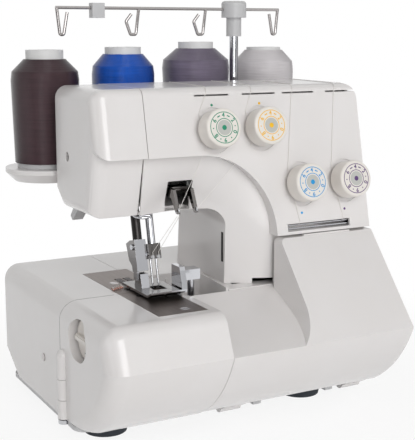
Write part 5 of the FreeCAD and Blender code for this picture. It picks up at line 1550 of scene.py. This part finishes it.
    def dial_grip(self) -> None:
        """The raised grip across the cutting width dial, with two dots to turn it to."""
        face = facing(self.dial_axis(self.dial_face), LEFT)
        shape = block(mm(*self.grip), mm(0, 0, self.grip_rise), self.grip_ease * MM, 3)
        mesh = mesh_from("width_dial_grip", shape)
        mesh.transform(face @ Matrix.Rotation(math.pi / 2, 4, "Z"))
        fasten(new_object("width_dial_grip", mesh, DIAL_WHITE), "width_dial", "dial_white")
        dots = Print()
        for y in (-self.dot_reach, self.dot_reach):
            dots.ring(0, self.dot_radius, 0, y)
        dots.lay("width_dial_dots", MOTOR_BLACK, face, "width_dial", "dial_white")


@dataclass
class Threads:
    """The threads between the panel, the take-up lever and the needles, and the sewn chain.

    Attributes:
        thick: Radius of a thread.
        parts: Lengths that a thread between two bodies is cut into.
        panel_runs: X of the slit, and X and Z of the dial, of each thread on the panel, in millimetres.
        window_runs: Number and dial's X of each thread that goes on to the window.
        needle_runs: Side of each needle's thread, and its X at the dial, at the lever, below it and at the
            needle.
        yarn: Radius of the chain's yarns.
        stitches: Stitches in the chain.
        chain_start, chain_end: Where the chain lies, in millimetres.
        chain_yarns: Name, finish, lag in stitches and rise in millimetres of each yarn.
        chain_reach, chain_sway: Mean reach of a stitch to its side, and how far that varies.
        chain_waves: Turn of that sway along the chain, in radians.
        chain_low, chain_fall: Height of a stitch's low side, and how far the high side falls to the end.
    """

    thick: float = 0.22 * MM
    parts: int = 8
    panel_runs: tuple[tuple[float, float, float], ...] = (
        (-24, -25, 249), (20, 20, 249), (62, 57, 199.5), (107, 103, 199.5))
    window_runs: tuple[tuple[int, float], ...] = ((3, 57), (4, 103))
    needle_runs: tuple[tuple[str, float, float, float, float], ...] = (
        ("left", -21, -50.5, -51.5, -67.7), ("right", 24, -33.5, -49.5, -62.3))
    yarn: float = 0.42 * MM
    stitches: int = 5
    chain_start: tuple[float, float, float] = (-85.9, -7, 112.4)
    chain_end: tuple[float, float, float] = (-97, -11.5, 112.4)
    chain_yarns: tuple[tuple[str, Finish, float, float], ...] = (
        ("white", WHITE_YARN, 0.0, 2.6), ("orange", ORANGE_YARN, 0.6, 1.5))
    chain_reach: float = 1.2
    chain_sway: float = 0.5
    chain_waves: float = 7
    chain_low: float = 0.1
    chain_fall: float = 0.8

    def build(self) -> None:
        """Lay every thread that the photograph shows."""
        for count, (x_slit, x_dial, z_dial) in enumerate(self.panel_runs, 1):
            self.lay(f"panel_thread_{count}", "machine", [
                on_panel(x_slit + 1, 279, -1), on_panel(x_slit, 277.2, 0.4),
                on_panel(x_dial - 6, z_dial + 15, 0.5), on_panel(x_dial - 5, z_dial + 9, 1.6)])
            self.lay(f"top_thread_{count}", "machine", [
                on_panel(x_slit + 1, 278, 0.2), mm(x_slit + 2, -41.4, 283.0), mm(x_slit + 3, -36, 285.3),
                mm(x_slit + 7, -4, 285.3), mm(x_slit + 13, 50, 285.3)])
        for count, x_dial in self.window_runs:
            self.lay(f"window_thread_{count}", "machine", [
                on_panel(x_dial - 3, 190, 1.6), on_panel(x_dial - 2, 182.6, 0.5),
                on_panel(x_dial + 1, 166.4, 0.5), on_panel(x_dial + 1, 164.5, -2.4)])
        for side, x_dial, x_arm, x_top, x_needle in self.needle_runs:
            self.stretch(f"{side}_lever_thread", "take_up", on_panel(x_dial - 5, 238, 1.2),
                         mm(x_arm, -46.6, 183))
            self.stretch(f"{side}_span_thread", "needle", mm(x_top, -46.2, 178.6),
                         leaning(x_needle, -6.6, -31))
            self.lay(f"{side}_needle_thread", "needle", [
                leaning(x_needle, -6.6, -31), leaning(x_needle, -6.3, -43), leaning(x_needle, -1.3, -50),
                leaning(x_needle, -1.15, -57)])
        self.chain()

    def lay(self, name: str, body: str, points: list[Vector]) -> None:
        """Lay a thread that moves with one body.

        Args:
            name: The piece's name.
            body: The body.
            points: Where it goes.
        """
        fasten(tube(points, self.thick, name, WHITE_YARN), body, "spool_white")

    def stretch(self, name: str, follower: str, start: Vector, end: Vector) -> None:
        """Stretch a straight thread from the machine towards a body that moves; the thread is built in place
        and rides on no body.

        Args:
            name: The piece's name.
            follower: The body that its end reaches as built; it is only named in the log.
            start, end: Where it goes.
        """
        points = [start + (end - start) * step / self.parts for step in range(self.parts + 1)]
        piece = tube(points, self.thick, name, WHITE_YARN)
        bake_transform(piece)
        LOG.info("%s runs from machine to %s", name, follower)

    def chain(self) -> None:
        """The chain of stitches that lies behind the foot: two yarns that cross at every stitch."""
        first, last, turns = mm(*self.chain_start), mm(*self.chain_end), self.stitches * 2
        side = (last - first).cross(Vector((0, 0, 1))).normalized()
        for name, finish, lag, rise in self.chain_yarns:
            points = []
            for step in range(turns + 1):
                swing = 1 if step % 2 else -1
                part = min(1, (step + lag) / turns)
                reach = swing * (self.chain_reach + self.chain_sway * math.sin(self.chain_waves * part)) * MM
                height = (rise - self.chain_fall * part if swing > 0 else self.chain_low) * MM
                points.append(first + (last - first) * part + side * reach + Vector((0, 0, height)))
            fasten(tube(points, self.yarn, f"{name}_chain", finish), "machine", "spool_white")


@dataclass
class SmallMetal:
    """Screws, thread rings, guide wires and the dark lines beside them, in millimetres.

    Attributes:
        repeats: The trees for screws.
        base_screws, base_z: X and Y of the screws under the base, and their height.
        end_screws, end_x: Y and Z of the screws in the right end, and its face.
        casing_head: Radius of those screws' heads.
        presser_screw, presser_head: Place of the presser bar's screw along the bars, and its head's radius.
        clamp_screw, clamp_head: The same for the needle clamp.
        needles: X of the two needles.
        needle_screw, needle_head: How far behind and up the bars a needle's screw is, and its head's radius.
        rings: Name and X of each ring on the take-up lever.
        ring_y, ring_z, ring_radius, ring_wire: Middle of such a ring, its radius and its wire's.
        ring_steps: Points round it.
        guide, guide_wire: Points of the head's thread guide, and its wire's radius.
        slit, slit_middle, slit_ease: Size, middle and rounding of the dark block that paints the shade inside
            the thread slit.
        seam_middle, seam_start, seam_sweep, seam_steps: The painted shadow line in the seam is found by
        looking at this place from the first angle on, in degrees from upright, over the sweep and in so many
        steps.
        seam_reach: From how far off that look starts.
        seam_radius, seam_proud, seam_sunk: Radius of that line, and how far it lies in front of the cover's
            edge and inside its wall.
        looper_marks: X, Z and ink of each threading dot.
        look_from, wall_limit, least_facing: Y from which the wall behind a dot is looked for, the Y that it
            may not pass, and how squarely it has to face the front.
        mark_radius, mark_rise: Radius of a threading dot, and its height over its eye.
        eye_radius, eye_wire, eye_steps: Radius of a looper guide's eye and of its wire, and points round it.
        eye_root, eye_neck, eye_front: Y of the eye's root, of its neck and of its ring, from the wall.
        bars, bar_ends, bar_sunk, bar_radius: Heights of the bars in the thread window, their ends, how deep
            they lie, and their radius.
    """

    repeats: Repeats
    base_screws: tuple[tuple[float, float], ...] = ((-138, 20), (118, 20), (-60, -50), (20, 104), (-60, 104))
    base_z: float = 9.0
    end_screws: tuple[tuple[float, float], ...] = ((36, 258), (-12, 190), (116, 100), (-50, 60))
    end_x: float = 132
    casing_head: float = 3.0
    presser_screw: tuple[float, float, float] = (-81.2, 4, -25)
    presser_head: float = 2.6
    clamp_screw: tuple[float, float, float] = (-70.5, -1, -32.3)
    clamp_head: float = 1.8
    needles: tuple[float, float] = (-67.7, -62.3)
    needle_screw: tuple[float, float] = (-5.5, -35)
    needle_head: float = 1.7
    rings: tuple[tuple[str, float], ...] = (("left", -50.5), ("right", -33.5))
    ring_y: float = -45.2
    ring_z: float = 182.6
    ring_radius: float = 1.9
    ring_wire: float = 0.55
    ring_steps: int = 16
    guide: tuple[tuple[float, float, float], ...] = (
        (-82, -20, 180), (-82, -24, 177.6), (-79, -30.5, 176.4), (-70, -32, 176.8), (-67.5, -29.5, 177.6),
        (-70.5, -28.2, 177.9), (-78, -27.4, 177.4))
    guide_wire: float = 1.2
    slit: tuple[float, float, float] = (1.6, 3.6, 26.6)
    slit_middle: tuple[float, float, float] = (0.55, -31, 144)
    slit_ease: float = 0.2
    seam_middle: tuple[float, float, float] = (-120, -25.9, 85)
    seam_start: float = 34
    seam_sweep: float = 158
    seam_steps: int = 44
    seam_reach: float = 120
    seam_radius: float = 0.2
    seam_proud: float = 0.3
    seam_sunk: float = 0.1
    looper_marks: tuple[tuple[float, float, Finish], ...] = (
        (-38, 76, GREEN_INK), (-14, 76, BLUE_INK), (2, 76, PURPLE_INK), (18, 76, YELLOW_INK),
        (26, 60, BLUE_INK), (26, 44, PURPLE_INK))
    look_from: float = -130
    wall_limit: float = -55
    least_facing: float = 0.9
    mark_radius: float = 1.6
    mark_rise: float = 5
    eye_radius: float = 1.7
    eye_wire: float = 0.45
    eye_steps: int = 14
    eye_root: float = 1
    eye_neck: float = -2
    eye_front: float = -2.6
    bars: tuple[float, float] = (161.3, 164.2)
    bar_ends: tuple[float, float] = (45.6, 110.4)
    bar_sunk: float = 3.6
    bar_radius: float = 0.8

    def build(self) -> None:
        """Set every small metal piece."""
        self.screws()
        for side, x in self.rings:
            ring = [mm(x, self.ring_y + self.ring_radius * math.cos(turn),
                       self.ring_z + self.ring_radius * math.sin(turn))
                    for turn in (math.tau * step / self.ring_steps for step in range(self.ring_steps + 1))]
            fasten(tube(ring, self.ring_wire * MM, f"take_up_ring_{side}", CHROME), "take_up", "chrome")
        guide = [mm(*point) for point in self.guide]
        fasten(tube(guide, self.guide_wire * MM, "head_thread_guide", CHROME, smooth=True), "machine",
               "chrome")
        # Painted shade: a dark block behind the thread slit stands in for the shade inside it.
        shape = block(mm(*self.slit), mm(*self.slit_middle), self.slit_ease * MM, 2)
        shade_block = new_object("slit_backing", mesh_from("slit_backing", shape), PAINTED_SHADE)
        fasten(shade_block, "machine", "black_plastic")
        self.looper_guides()
        self.cover_seam()
        for count, z in enumerate(self.bars, 1):
            bar = [on_panel(x, z, -self.bar_sunk) for x in self.bar_ends]
            fasten(tube(bar, self.bar_radius * MM, f"window_bar_{count}", CHROME), "machine", "chrome")

    def screws(self) -> None:
        """Set the screws of the casing, the presser bar and the needle clamp."""
        lean = leaning(0, -1, 0) - leaning(0, 0, 0)
        self.repeats.screws("casing_screws", "machine", "bright_steel", BRIGHT_STEEL, [
            *((mm(x, y, self.base_z), DOWN, self.casing_head) for x, y in self.base_screws),
            *((mm(self.end_x, y, z), RIGHT, self.casing_head) for y, z in self.end_screws)])
        self.repeats.screws("presser_screw", "presser", "chrome", CHROME, [
            (leaning(*self.presser_screw), LEFT, self.presser_head)])
        self.repeats.screws("clamp_screws", "needle", "chrome", CHROME, [
            (leaning(*self.clamp_screw), LEFT, self.clamp_head),
            *((leaning(x, *self.needle_screw), lean, self.needle_head) for x in self.needles)])

    def cover_seam(self) -> None:
        """A painted shadow: the dark line laid in the seam between the swing cover and the bed cover behind
        it, where the gap's shade falls.
        """
        wall, middle, line = walls("left_bed_cover"), mm(*self.seam_middle), []
        for step in range(self.seam_steps + 1):
            turn = math.radians(self.seam_start - self.seam_sweep * step / self.seam_steps)
            way = Vector((math.sin(turn), 0, math.cos(turn)))
            hit = wall.ray_cast(middle + way * self.seam_reach * MM, -way)[0]
            line.append(hit + mm(0, -self.seam_proud, 0) - way * self.seam_sunk * MM)
        # Painted shadow: a thin dark tube stands in for the shade inside the seam's gap.
        fasten(tube(line, self.seam_radius * MM, "swing_seam_line", PAINTED_SHADE), "machine", "black_plastic")

    def looper_guides(self) -> None:
        """Wire eyes and coloured threading dots on the casting behind the front cover."""
        tree, around = walls("chassis"), [math.tau * step / self.eye_steps for step in range(self.eye_steps)]
        for count, (x, z, ink) in enumerate(self.looper_marks, 1):
            place, normal, _, _ = tree.ray_cast(mm(x, self.look_from, z), -FRONT)
            if place is None or normal.y > -self.least_facing or place.y > self.wall_limit * MM:
                LOG.info("no wall for looper guide %d", count)
                continue
            dot = Print()
            dot.ring(0, self.mark_radius)
            dot.lay(f"looper_dot_{count}", ink, facing(place + mm(0, 0, self.mark_rise), FRONT), "machine",
                    "cast_alloy")
            eye = [place + mm(0, self.eye_root, 0), place + mm(0, self.eye_neck, 0)]
            eye += [place + mm(self.eye_radius * math.sin(turn), self.eye_front,
                               self.eye_radius * (math.cos(turn) - 1)) for turn in around]
            fasten(tube(eye, self.eye_wire * MM, f"looper_eye_{count}", CHROME), "machine", "chrome")


def main() -> None:
    """Build the stage and every piece in order."""
    logging.basicConfig(level=logging.INFO, format="%(message)s")
    Studio().build()
    Skins().build()
    for name, finish in (("brown", BROWN_THREAD), ("blue", BLUE_THREAD), ("violet", VIOLET_THREAD),
                         ("silver", SILVER_THREAD)):
        ThreadCone(name, finish).build()
    for dial in (TensionDial("left_needle_dial", GREEN_INK, -18, 270),
                 TensionDial("right_needle_dial", YELLOW_INK, 28.6, 270),
                 TensionDial("upper_looper_dial", BLUE_INK, 61, 174.7),
                 TensionDial("lower_looper_dial", PURPLE_INK, 106.6, 174.7)):
        dial.build()
    repeats = Repeats()
    Controls(repeats).build()
    SmallMetal(repeats).build()
    Threads().build()


if __name__ == "__main__":
    main()
